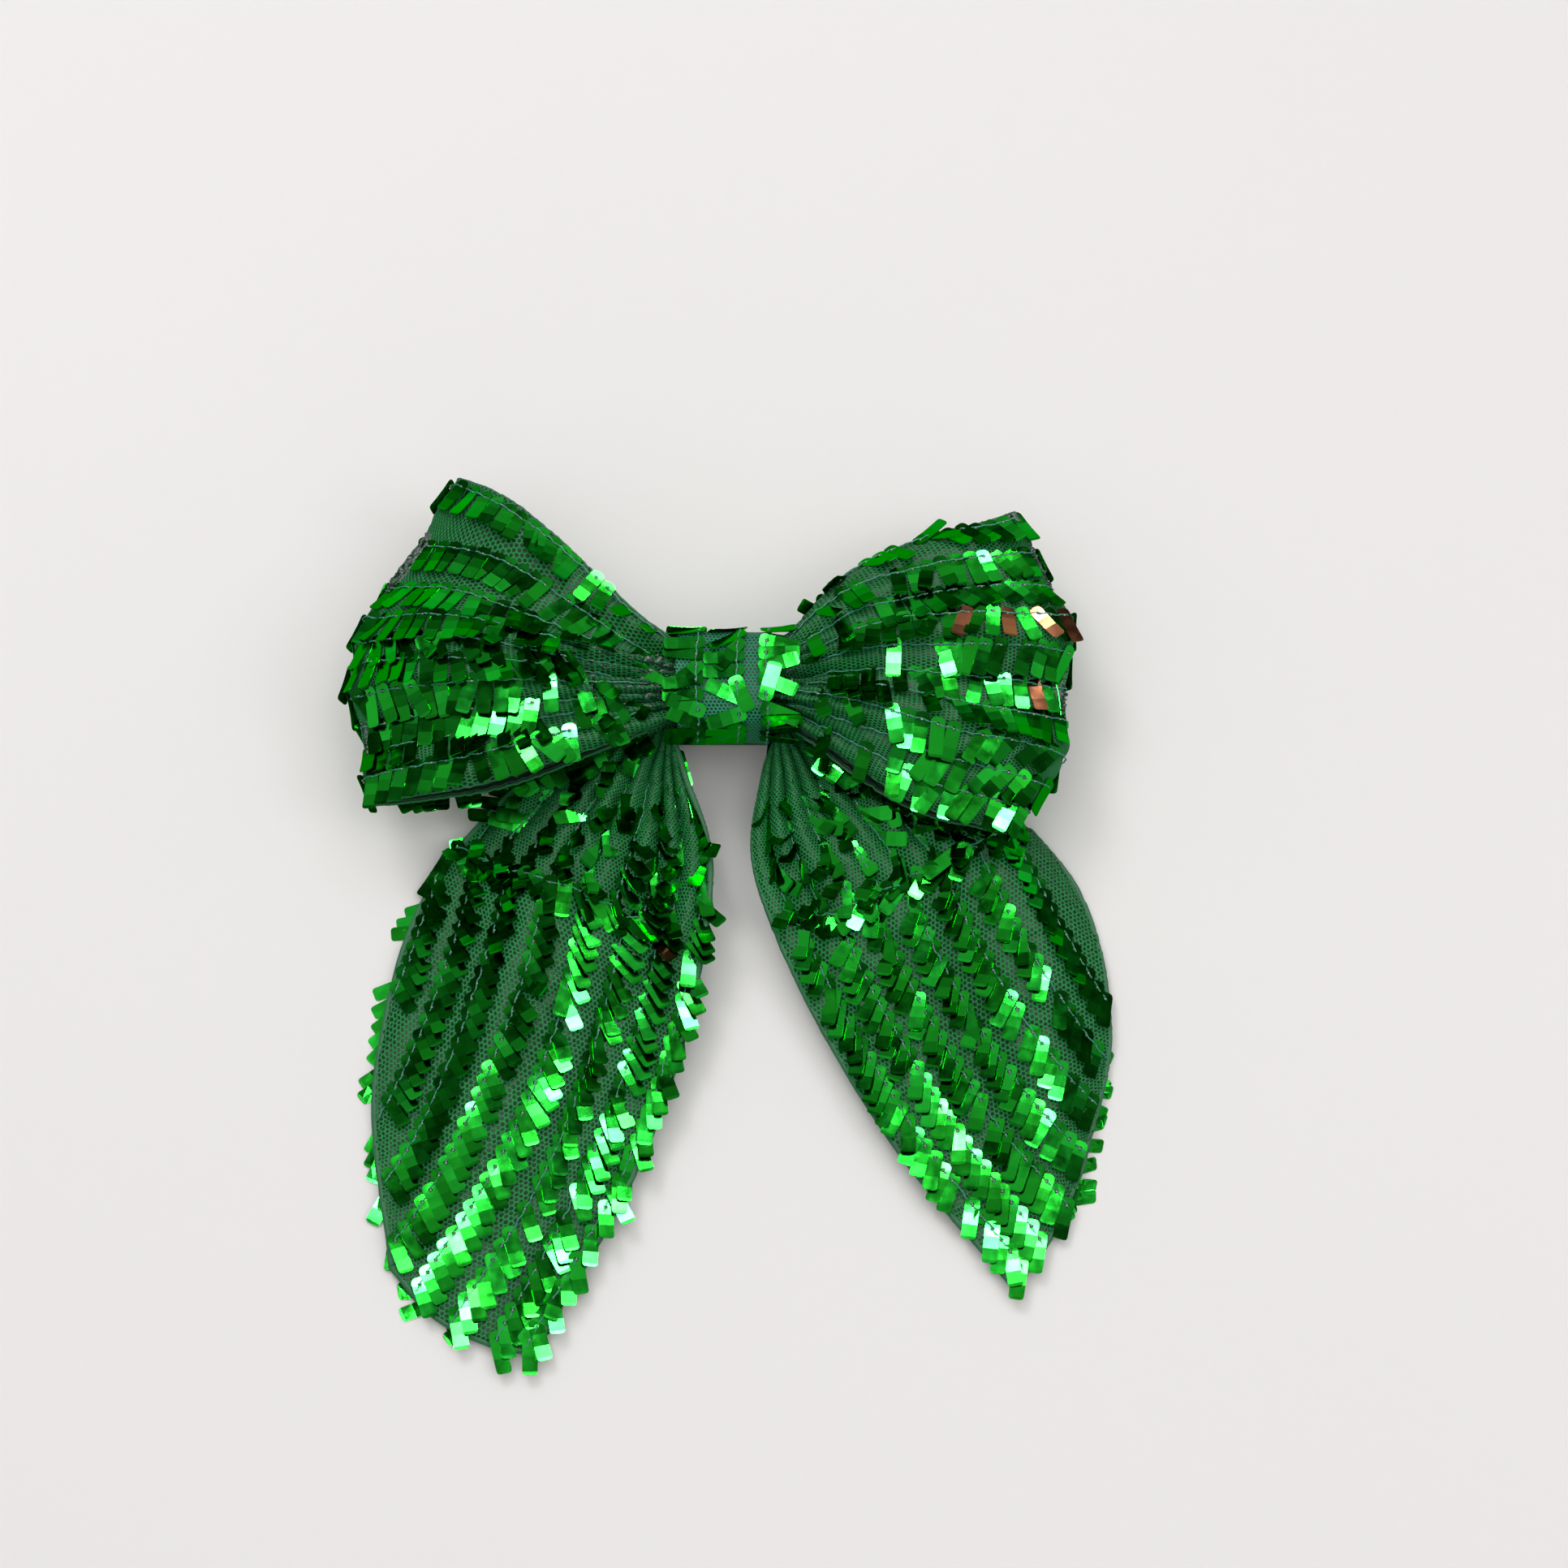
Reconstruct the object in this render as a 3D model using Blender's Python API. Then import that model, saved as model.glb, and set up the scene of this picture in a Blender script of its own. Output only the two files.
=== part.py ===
"""Cheer hair bow on a French barrette: sequinned loops and tails, a wrapped centre band and a sprung clip.

The bow lies on its back. +X runs along the clip to the bow's right, +Y runs from the tails up to the
loops, and +Z is the way the bow's front faces. The origin is the middle of the clip arm's flat underside.
Lengths are in millimetres until MM turns them into metres.
"""

import math

import bmesh
import bpy
from mathutils import Vector

MM = 0.001
GAP = 0.3

# Clip
CLIP_LENGTH = 80.0
CLIP_WIDTH = 9.0
CLIP_CORNER = 2.2
PLATE = 1.0
BORE_REACH = 8.0
RIVET_BORE_REACH = 2.0
ARM_WIDTH = 7.0
ARM_BEND_X = 31.0
ARM_BEND_RUN = 1.6
HINGE_X = -37.5
HINGE_Z = 3.6
PIN_RADIUS = 0.7
PIN_HEAD_RADIUS = 1.3
PIN_HEAD_HEIGHT = 0.5
LUG_THICKNESS = 0.8
LUG_RADIUS = 2.0
EYE_RADIUS = 2.0
BASE_TOP = 9.6
BASE_BOTTOM = BASE_TOP - PLATE
ARM_TIP_X = 40.0
ARM_TIP_Z = 2.4
ARM_TIP_HALF = 4.4
ARM_TIP_INSET = 3.6
ARM_TIP_CORNER = 1.4
CATCH_X = 36.0
CATCH_LENGTH = 3.4
CATCH_OPENING_HALF = 3.4
CATCH_OPENING_MARGIN = 0.5
EAR_Y = 2.5
EAR_THICKNESS = 0.6
EAR_HINGE_Z = 7.0
HOOK_REACH = 0.3
HOOK_HEIGHT = 0.6
TAB_DROP = 2.4
TAB_REACH = 1.6
TAB_THICKNESS = 0.6
BRACKET_THICKNESS = 0.5
BRACKET_HALF = (2.4, 3.6)
LEAF_THICKNESS = 0.4
LEAF_WIDTH = 6.0
LEAF_X = (-33.0, 30.0)
LEAF_DROP = 1.8
LEAF_FLAT_SHARE = 0.08
LEAF_STEPS = 18
RIVET_RADIUS = 0.9
RIVET_HEAD_RADIUS = 1.6
RIVET_HEAD_HEIGHT = 0.5
LEAF_RIVET_X = -30.5

# Sewn middle
RIBBON_THICKNESS = 0.4
RIBBON_INSET = 1.0
RIBBON_OVERHANG = 0.3
RIBBON_CORNER = 2.0
FELT_SIZE = (27.0, 20.0, 1.05)
FELT_CORNER = 4.0
FELT_GAP = 0.15
BAND_WIDTH = 22.0
BAND_HALF_Y = 12.6
BAND_BOTTOM = 12.1
BAND_TOP = 30.6
BAND_THICKNESS = 0.8
BAND_CORNER = 5.5
TIE_SIZE = (5.0, 15.0, 11.0)
TIE_Z = 22.4
TIE_TURNS = 5
TIE_STEPS_PER_TURN = 4
TIE_RIDGE = 0.35
TIE_CORNER = 3.0

# Cloth
CLOTH = 0.7
LINING = 0.5
TAIL_PIVOT = (8.0, -3.0, 14.0)
TAIL_SEAM_GAP = 0.3

# Each outline is four curves that meet at its corners. Loops run from the knot out to the fold, between
# a lower and an upper edge; tails run from the knot to the cut end, between an inner and an outer edge.
LOOP_OUTLINES = {
    "left": {
        "low": [(-3.4, -8.0), (-12.5, -8.6), (-33.0, -17.0), (-56.0, -25.0), (-81.0, -29.0)],
        "high": [(-3.4, 8.0), (-12.5, 10.6), (-30.0, 26.5), (-47.0, 44.0), (-63.0, 55.0)],
        "outer": [(-81.0, -29.0), (-84.5, -12.0), (-87.0, 6.0), (-83.0, 24.0), (-63.0, 55.0)],
    },
    "right": {
        "low": [(3.4, -8.0), (12.5, -8.8), (28.0, -20.0), (45.0, -31.0), (65.0, -36.0)],
        "high": [(3.4, 8.0), (12.5, 10.6), (26.0, 27.5), (45.0, 39.0), (69.5, 47.5)],
        "outer": [(65.0, -36.0), (77.0, -20.0), (81.0, 2.0), (79.0, 24.0), (69.5, 47.5)],
    },
}
TAIL_OUTLINES = {
    "left": {
        "low": [(-12.6, -9.0, 14.8), (-9.0, -20.0, 13.2), (-3.0, -42.0, 10.0), (-8.0, -78.0, 6.5),
                (-20.0, -114.0, 3.6), (-41.0, -153.0, 1.6)],
        "high": [(-12.6, 2.0, 14.8), (-30.0, -7.0, 12.6), (-52.0, -22.0, 9.6), (-71.0, -48.0, 6.4),
                 (-79.0, -92.0, 4.0), (-73.0, -134.0, 1.6)],
        "outer": [(-41.0, -153.0, 1.6), (-50.0, -151.5, 1.6), (-63.0, -145.0, 1.6), (-73.0, -134.0, 1.6)],
    },
    "right": {
        "low": [(12.6, -9.0, 14.8), (9.2, -20.0, 13.2), (7.5, -42.0, 10.0), (20.0, -74.0, 6.5),
                (40.0, -108.0, 3.6), (64.5, -138.0, 1.6)],
        "high": [(12.6, 2.0, 14.8), (33.0, -6.0, 12.6), (59.0, -18.0, 9.6), (82.0, -42.0, 6.4),
                 (88.5, -78.0, 4.0), (81.0, -111.0, 1.6)],
        "outer": [(64.5, -138.0, 1.6), (69.0, -133.0, 1.6), (75.0, -124.0, 1.6), (81.0, -111.0, 1.6)],
    },
}
# How far out (0 knot, 1 fold) and how high the middle of a loop runs: along its front, round the fold, back.
LOOP_PROFILE = [(0.0, 25.0), (0.16, 26.6), (0.38, 29.5), (0.62, 30.0), (0.84, 26.6), (0.965, 21.4),
                (1.0, 18.6), (0.97, 16.4), (0.86, 15.6), (0.62, 16.0), (0.38, 17.6), (0.16, 19.4),
                (0.0, 20.0)]
LOOP_EDGE_HEIGHT = 0.62
LOOP_TOP_LIFT = 1.5
LOOP_MIDDLE = (21.5, 18.4)
LOOP_STEPS = (22, 10)
TAIL_STEPS = (13, 8)
TAIL_CROWN = 1.6

# Colours are linear red, green and blue.
MATERIALS = {
    "sequin_net": ((0.010, 0.130, 0.030), 0.45, 0.2),
    "satin_lining": ((0.008, 0.060, 0.022), 0.55, 0.0),
    "band_net": ((0.012, 0.140, 0.050), 0.55, 0.0),
    "thread": ((0.010, 0.150, 0.080), 0.7, 0.0),
    "felt": ((0.012, 0.070, 0.030), 0.95, 0.0),
    "grosgrain": ((0.015, 0.110, 0.045), 0.7, 0.0),
    "nickel": ((0.60, 0.59, 0.57), 0.28, 1.0),
    "spring_steel": ((0.45, 0.45, 0.46), 0.35, 1.0),
}


def clear_scene():
    """Starts from an empty scene."""
    for obj in list(bpy.data.objects):
        bpy.data.objects.remove(obj)


def make_materials():
    """Makes one Principled material for each finish."""
    made = {}
    for name, (colour, roughness, metallic) in MATERIALS.items():
        material = bpy.data.materials.new(name)
        material.use_nodes = True
        shader = material.node_tree.nodes["Principled BSDF"]
        shader.inputs["Base Color"].default_value = (*colour, 1.0)
        shader.inputs["Roughness"].default_value = roughness
        shader.inputs["Metallic"].default_value = metallic
        made[name] = material
    return made


def finish_mesh(name, bm, material, origin=(0.0, 0.0, 0.0), smooth_angle=30.0):
    """Turns a bmesh in millimetres into an object in metres whose origin is at the given point."""
    bmesh.ops.translate(bm, verts=bm.verts, vec=-Vector(origin))
    bmesh.ops.scale(bm, verts=bm.verts, vec=(MM, MM, MM))
    bmesh.ops.recalc_face_normals(bm, faces=bm.faces)
    mesh = bpy.data.meshes.new(name)
    bm.to_mesh(mesh)
    bm.free()
    mesh.shade_smooth()
    mesh.set_sharp_from_angle(angle=math.radians(smooth_angle))
    obj = bpy.data.objects.new(name, mesh)
    obj.location = Vector(origin) * MM
    bpy.context.scene.collection.objects.link(obj)
    if material:
        mesh.materials.append(material)
    return obj


def cut(target, tools, operation="DIFFERENCE"):
    """Cuts the tools out of a target, or joins them to it, with exact Booleans."""
    for tool in tools:
        tool.hide_render = True
        tool.display_type = "WIRE"
        modifier = target.modifiers.new(tool.name, "BOOLEAN")
        modifier.operation = operation
        modifier.solver = "EXACT"
        modifier.object = tool


def box(name, low, high, material=None, origin=(0.0, 0.0, 0.0)):
    """Makes a box between two corners."""
    bm = bmesh.new()
    bmesh.ops.create_cube(bm, size=1.0)
    low, high = Vector(low), Vector(high)
    bmesh.ops.scale(bm, verts=bm.verts, vec=high - low)
    bmesh.ops.translate(bm, verts=bm.verts, vec=(low + high) / 2)
    return finish_mesh(name, bm, material, origin)


def prism(name, outline, start, end, along, material=None, origin=(0.0, 0.0, 0.0), holes=()):
    """Extrudes a flat outline. along is 'x' (outline in Y,Z), 'y' (in X,Z) or 'z' (in X,Y)."""
    place = {
        "x": lambda a, b, d: (d, a, b),
        "y": lambda a, b, d: (a, d, b),
        "z": lambda a, b, d: (a, b, d),
    }[along]
    bm = bmesh.new()
    rings = []
    for outline_points in (outline, *holes):
        rings.append([[bm.verts.new(place(a, b, d)) for a, b in outline_points] for d in (start, end)])
    for near, far in rings:
        for i in range(len(near)):
            j = (i + 1) % len(near)
            bm.faces.new((near[i], near[j], far[j], far[i]))
    if holes:
        (outer_near, outer_far), (inner_near, inner_far) = rings
        for outer, inner in ((outer_near, inner_near), (outer_far, inner_far)):
            for i in range(len(outer)):
                j = (i + 1) % len(outer)
                bm.faces.new((outer[i], outer[j], inner[j], inner[i]))
    else:
        bm.faces.new(rings[0][0])
        bm.faces.new(rings[0][1])
    return finish_mesh(name, bm, material, origin)


def arc(centre, radius, start_degrees, end_degrees, steps):
    """Lists points along an arc."""
    angles = [math.radians(start_degrees + (end_degrees - start_degrees) * i / steps)
              for i in range(steps + 1)]
    return [(centre[0] + radius * math.cos(a), centre[1] + radius * math.sin(a)) for a in angles]


def rounded_rectangle(half_width, low, high, radius, steps):
    """Lists the points of a rectangle with rounded corners, anticlockwise."""
    points = []
    corners = [(half_width - radius, low + radius, -90), (half_width - radius, high - radius, 0),
               (radius - half_width, high - radius, 90), (radius - half_width, low + radius, 180)]
    for a, b, first in corners:
        points += arc((a, b), radius, first, first + 90, steps)
    return points


def turned(name, profile, centre, axis, material, sides=24):
    """Turns a profile of (radius, distance) points about an axis through the centre."""
    bm = bmesh.new()
    rings = []
    for radius, distance in profile:
        ring = []
        for i in range(sides):
            angle = 2 * math.pi * i / sides
            a, b = radius * math.cos(angle), radius * math.sin(angle)
            offset = (a, distance, b) if axis == "y" else (a, b, distance)
            ring.append(bm.verts.new(Vector(centre) + Vector(offset)))
        rings.append(ring)
    for near, far in zip(rings, rings[1:]):
        for i in range(sides):
            j = (i + 1) % sides
            bm.faces.new((near[i], near[j], far[j], far[i]))
    bm.faces.new(rings[0])
    bm.faces.new(rings[-1])
    return finish_mesh(name, bm, material, centre)


def along_curve(points, position):
    """Reads a smooth curve through the points at a position from 0 to 1."""
    last = len(points) - 1
    scaled = min(max(position, 0.0), 1.0) * last
    i = min(int(scaled), last - 1)
    f = scaled - i
    p1, p2 = Vector(points[i]), Vector(points[i + 1])
    p0 = Vector(points[i - 1]) if i else p1 * 2 - p2
    p3 = Vector(points[i + 2]) if i + 2 <= last else p2 * 2 - p1
    return 0.5 * (2 * p1 + (p2 - p0) * f + (2 * p0 - 5 * p1 + 4 * p2 - p3) * f * f
                  + (3 * p1 - p0 - 3 * p2 + p3) * f ** 3)


def patch_point(outline, s, t):
    """Reads the Coons patch of an outline: s runs from the knot outward, t from the low to the high edge."""
    low, high, outer = (outline[k] for k in ("low", "high", "outer"))
    start_low, start_high = Vector(low[0]), Vector(high[0])
    end_low, end_high = Vector(outer[0]), Vector(outer[-1])
    across = (1 - t) * along_curve(low, s) + t * along_curve(high, s)
    outward = (1 - s) * start_low.lerp(start_high, t) + s * along_curve(outer, t)
    corners = (1 - s) * start_low.lerp(start_high, t) + s * end_low.lerp(end_high, t)
    return across + outward - corners


def loop_point(side, around, t):
    """Reads the middle of a loop's cloth: around runs from the knot over the front, the fold and the back."""
    out, height = along_curve(LOOP_PROFILE, around)
    x, y = patch_point(LOOP_OUTLINES[side], out, t)
    middle = LOOP_MIDDLE[0] + (LOOP_MIDDLE[1] - LOOP_MIDDLE[0]) * out
    crown = LOOP_EDGE_HEIGHT + (1 - LOOP_EDGE_HEIGHT) * math.sin(math.pi * t) ** 0.7
    lift = LOOP_TOP_LIFT * out * t * t
    return Vector((x, y, middle + (height - middle) * crown + lift))


def tail_point(side, s, t):
    """Reads the middle of a tail's two layers."""
    point = patch_point(TAIL_OUTLINES[side], s, t)
    point.z += TAIL_CROWN * math.sin(math.pi * t) * math.sin(math.pi * min(s * 1.1, 1.0))
    return point


def shell(name, point_at, steps, start, thickness, material, origin=(0.0, 0.0, 0.0)):
    """Makes a cloth layer: it lies between two offsets of a surface along the surface's normals."""
    rows, columns = steps
    nudge = 1e-3

    def offset_point(i, j, distance):
        a, b = i / rows, j / columns
        a0, a1 = max(a - nudge, 0.0), min(a + nudge, 1.0)
        b0, b1 = max(b - nudge, 0.0), min(b + nudge, 1.0)
        along = point_at(a1, b) - point_at(a0, b)
        across = point_at(a, b1) - point_at(a, b0)
        return point_at(a, b) + along.cross(across).normalized() * distance

    bm = bmesh.new()
    near, far = ([[bm.verts.new(offset_point(i, j, d)) for j in range(columns + 1)]
                  for i in range(rows + 1)] for d in (start, start + thickness))
    for i in range(rows):
        for j in range(columns):
            bm.faces.new((near[i][j], near[i][j + 1], near[i + 1][j + 1], near[i + 1][j]))
            bm.faces.new((far[i][j], far[i + 1][j], far[i + 1][j + 1], far[i][j + 1]))
    rim = ([(i, 0) for i in range(rows)] + [(rows, j) for j in range(columns)]
           + [(i, columns) for i in range(rows, 0, -1)] + [(0, j) for j in range(columns, 0, -1)])
    for (i, j), (k, m) in zip(rim, rim[1:] + rim[:1]):
        bm.faces.new((near[i][j], near[k][m], far[k][m], far[i][j]))
    return finish_mesh(name, bm, material, origin, smooth_angle=60.0)


def build_cloth(materials):
    """Builds both loops with their linings, and both layers of both tails."""
    for side, sign in (("left", -1.0), ("right", 1.0)):

        def around_loop(a, b, side=side):
            return loop_point(side, a, b)

        def along_tail(a, b, side=side):
            return tail_point(side, a, b)

        outward = -sign
        shell(f"{side}_loop_sequin_cloth", around_loop, LOOP_STEPS,
              min(0.0, outward * CLOTH), CLOTH, materials["sequin_net"])
        inner_start = -outward * GAP if outward < 0 else -GAP - LINING
        shell(f"{side}_loop_lining", around_loop, LOOP_STEPS, inner_start, LINING,
              materials["satin_lining"])
        pivot = (sign * TAIL_PIVOT[0], *TAIL_PIVOT[1:])
        starts = (TAIL_SEAM_GAP / 2, -TAIL_SEAM_GAP / 2 - CLOTH)
        front_start, back_start = starts if sign > 0 else starts[::-1]
        shell(f"{side}_tail_front", along_tail, TAIL_STEPS, front_start, CLOTH,
              materials["sequin_net"], pivot)
        shell(f"{side}_tail_back", along_tail, TAIL_STEPS, back_start, CLOTH,
              materials["sequin_net"], pivot)


def build_middle(materials):
    """Builds the centre band, the gathering thread, the felt pad and the ribbon on the clip."""
    outside = rounded_rectangle(BAND_HALF_Y, BAND_BOTTOM, BAND_TOP, BAND_CORNER, 5)
    inside = rounded_rectangle(BAND_HALF_Y - BAND_THICKNESS, BAND_BOTTOM + BAND_THICKNESS,
                               BAND_TOP - BAND_THICKNESS, BAND_CORNER - BAND_THICKNESS, 5)
    prism("centre_band", outside, -BAND_WIDTH / 2, BAND_WIDTH / 2, "x", materials["band_net"],
          holes=(inside,))

    length, width, height = TIE_SIZE
    bm = bmesh.new()
    steps = TIE_TURNS * TIE_STEPS_PER_TURN
    rings = []
    for i in range(steps + 1):
        along = i / steps
        ridge = TIE_RIDGE * abs(math.sin(math.pi * TIE_TURNS * along))
        outline = rounded_rectangle(width / 2 - TIE_RIDGE + ridge, TIE_Z - height / 2 - ridge,
                                    TIE_Z + height / 2 + ridge, TIE_CORNER, 3)
        rings.append([bm.verts.new(((along - 0.5) * length, a, b)) for a, b in outline])
    for near, far in zip(rings, rings[1:]):
        for i in range(len(near)):
            j = (i + 1) % len(near)
            bm.faces.new((near[i], near[j], far[j], far[i]))
    bm.faces.new(rings[0])
    bm.faces.new(rings[-1])
    finish_mesh("gathering_thread", bm, materials["thread"])

    ribbon_bottom = BASE_TOP + GAP
    ribbon_top = ribbon_bottom + RIBBON_THICKNESS
    ribbon_half = CLIP_WIDTH / 2 + RIBBON_OVERHANG
    outline = rounded_rectangle(CLIP_LENGTH / 2 - RIBBON_INSET, -ribbon_half, ribbon_half, RIBBON_CORNER, 3)
    prism("clip_ribbon", outline, ribbon_bottom, ribbon_top, "z", materials["grosgrain"])
    felt_length, felt_width, felt_thickness = FELT_SIZE
    outline = rounded_rectangle(felt_length / 2, -felt_width / 2, felt_width / 2, FELT_CORNER, 4)
    felt_bottom = ribbon_top + FELT_GAP
    prism("felt_pad", outline, felt_bottom, felt_bottom + felt_thickness, "z", materials["felt"])


def build_base(materials):
    """Builds the barrette's base plate with its two hinge lugs, hinge pin, leaf, bracket and rivets."""
    nickel = materials["nickel"]
    outline = rounded_rectangle(CLIP_LENGTH / 2, -CLIP_WIDTH / 2, CLIP_WIDTH / 2, CLIP_CORNER, 4)
    base = prism("barrette_base", outline, BASE_BOTTOM, BASE_TOP, "z", nickel)
    lug_top = BASE_BOTTOM + PLATE / 2
    lug_outline = ([(HINGE_X + LUG_RADIUS, lug_top), (HINGE_X - LUG_RADIUS, lug_top)]
                   + arc((HINGE_X, HINGE_Z), LUG_RADIUS, 180, 360, 10))
    tools = []
    for side, inner in (("front", -CLIP_WIDTH / 2), ("rear", CLIP_WIDTH / 2 - LUG_THICKNESS)):
        tools.append(prism(f"lug_tool_{side}", lug_outline, inner, inner + LUG_THICKNESS, "y"))
    cut(base, tools, "UNION")
    bore = turned("lug_bore_tool", [(PIN_RADIUS + GAP, -BORE_REACH), (PIN_RADIUS + GAP, BORE_REACH)],
                  (HINGE_X, 0.0, HINGE_Z), "y", None, 20)
    holes = [bore]
    for name, x in (("leaf_hole_tool", LEAF_RIVET_X), ("catch_hole_tool", CATCH_X)):
        holes.append(turned(name, [(RIVET_RADIUS + GAP, -RIVET_BORE_REACH), (RIVET_RADIUS + GAP, RIVET_BORE_REACH)],
                            (x, 0.0, BASE_BOTTOM), "z", None, 20))
    cut(base, holes)

    head = CLIP_WIDTH / 2 + GAP
    half_profile = [(PIN_RADIUS, head), (PIN_HEAD_RADIUS, head), (PIN_HEAD_RADIUS, head + PIN_HEAD_HEIGHT / 2),
                    (PIN_HEAD_RADIUS * 0.6, head + PIN_HEAD_HEIGHT)]
    profile = [(radius, -along) for radius, along in half_profile[::-1]] + half_profile
    turned("hinge_pin", profile, (HINGE_X, 0.0, HINGE_Z), "y", nickel, 16)

    leaf_top = bracket_top = BASE_BOTTOM - GAP
    top, bottom = [], []
    for i in range(LEAF_STEPS + 1):
        along = i / LEAF_STEPS
        x = LEAF_X[0] + (LEAF_X[1] - LEAF_X[0]) * along
        flat_end = max((along - LEAF_FLAT_SHARE) / (1.0 - LEAF_FLAT_SHARE), 0.0)
        z = leaf_top - LEAF_DROP * math.sin(math.pi * flat_end) ** 1.3
        top.append((x, z))
        bottom.append((x, z - LEAF_THICKNESS))
    leaf = prism("tension_leaf", top + bottom[::-1], -LEAF_WIDTH / 2, LEAF_WIDTH / 2, "y",
                 materials["spring_steel"])
    cut(leaf, [turned("leaf_bore_tool", [(RIVET_RADIUS + GAP, -RIVET_BORE_REACH), (RIVET_RADIUS + GAP, RIVET_BORE_REACH)],
                      (LEAF_RIVET_X, 0.0, leaf_top), "z", None, 20)])

    bracket_low = bracket_top - BRACKET_THICKNESS
    half_x, half_y = BRACKET_HALF
    bracket = box("catch_bracket", (CATCH_X - half_x, -half_y, bracket_low),
                  (CATCH_X + half_x, half_y, bracket_top), materials["spring_steel"])
    cut(bracket, [turned("bracket_bore_tool",
                         [(RIVET_RADIUS + GAP, -RIVET_BORE_REACH), (RIVET_RADIUS + GAP, RIVET_BORE_REACH)],
                         (CATCH_X, 0.0, bracket_top), "z", None, 20)])

    for name, x, under in (("leaf_rivet", LEAF_RIVET_X, leaf_top - LEAF_THICKNESS),
                           ("catch_rivet", CATCH_X, bracket_low)):
        head_top = under - GAP
        profile = [(RIVET_HEAD_RADIUS * 0.55, head_top - RIVET_HEAD_HEIGHT),
                   (RIVET_HEAD_RADIUS, head_top - RIVET_HEAD_HEIGHT * 0.4),
                   (RIVET_HEAD_RADIUS, head_top), (RIVET_RADIUS, head_top), (RIVET_RADIUS, BASE_TOP - 0.05)]
        turned(name, [(r, z - head_top) for r, z in profile], (x, 0.0, head_top), "z", nickel, 16)


def build_arm(materials):
    """Builds the arm: an eye round the hinge pin, a flat bar and a raised tip with the catch opening."""
    nickel = materials["nickel"]
    pivot = (HINGE_X, 0.0, HINGE_Z)
    bend_end = ARM_BEND_X + ARM_BEND_RUN
    fold = PLATE * 0.6
    outline = arc((HINGE_X, HINGE_Z), EYE_RADIUS, 20, 245, 15)
    outline += [(HINGE_X + 1.6, 0.0), (ARM_BEND_X, 0.0), (bend_end, ARM_TIP_Z), (ARM_TIP_X, ARM_TIP_Z),
                (ARM_TIP_X, ARM_TIP_Z + PLATE), (bend_end - fold, ARM_TIP_Z + PLATE),
                (ARM_BEND_X - fold, PLATE), (HINGE_X + 3.2, PLATE)]
    arm = prism("barrette_arm", outline, -ARM_WIDTH / 2, ARM_WIDTH / 2, "y", nickel, pivot)
    tip = prism("arm_tip_tool",
                rounded_rectangle(ARM_TIP_HALF, -CLIP_WIDTH / 2, CLIP_WIDTH / 2, ARM_TIP_CORNER, 3),
                ARM_TIP_Z, ARM_TIP_Z + PLATE, "z")
    tip.location.x = (ARM_TIP_X - ARM_TIP_INSET) * MM
    cut(arm, [tip], "UNION")
    half = CATCH_LENGTH / 2 + CATCH_OPENING_MARGIN
    opening = box("catch_opening_tool", (CATCH_X - half, -CATCH_OPENING_HALF, ARM_TIP_Z - PLATE),
                  (CATCH_X + half, CATCH_OPENING_HALF, ARM_TIP_Z + 2 * PLATE))
    bore = turned("eye_bore_tool", [(PIN_RADIUS + GAP, -BORE_REACH), (PIN_RADIUS + GAP, BORE_REACH)],
                  (HINGE_X, 0.0, HINGE_Z), "y", None, 20)
    cut(arm, [opening, bore])


def build_catch(materials):
    """Builds the two spring ears, each on its own hinge line under the bracket, with a hook that faces out."""
    x0, x1 = CATCH_X - CATCH_LENGTH / 2, CATCH_X + CATCH_LENGTH / 2
    top = BASE_BOTTOM - GAP - BRACKET_THICKNESS - GAP
    hook_top = ARM_TIP_Z - GAP
    hook_low = hook_top - HOOK_HEIGHT
    for name, sign in (("catch_ear_front", -1.0), ("catch_ear_rear", 1.0)):
        inner = EAR_Y - EAR_THICKNESS / 2
        outer = EAR_Y + EAR_THICKNESS / 2
        tab_high = EAR_HINGE_Z - TAB_DROP
        tab_low = tab_high - TAB_THICKNESS
        tab_end = outer + TAB_REACH
        outline = [(inner, top), (inner, hook_low), (outer + HOOK_REACH / 2, hook_low),
                   (outer + HOOK_REACH, hook_top), (outer, hook_top),
                   (outer, tab_low), (tab_end, tab_low), (tab_end, tab_high), (outer, tab_high),
                   (outer, top)]
        prism(name, [(sign * y, z) for y, z in outline], x0, x1, "x", materials["spring_steel"],
              (CATCH_X, sign * EAR_Y, EAR_HINGE_Z))


def main():
    clear_scene()
    materials = make_materials()
    build_cloth(materials)
    build_middle(materials)
    build_base(materials)
    build_arm(materials)
    build_catch(materials)


main()
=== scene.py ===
"""Looks for the sequinned cheer bow: gathered cloth, bar sequins, stitching, clip finishes, light and camera.

Lengths are in millimetres in the frame of the CAD model until make_mesh turns them into metres.
"""

import math

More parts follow.
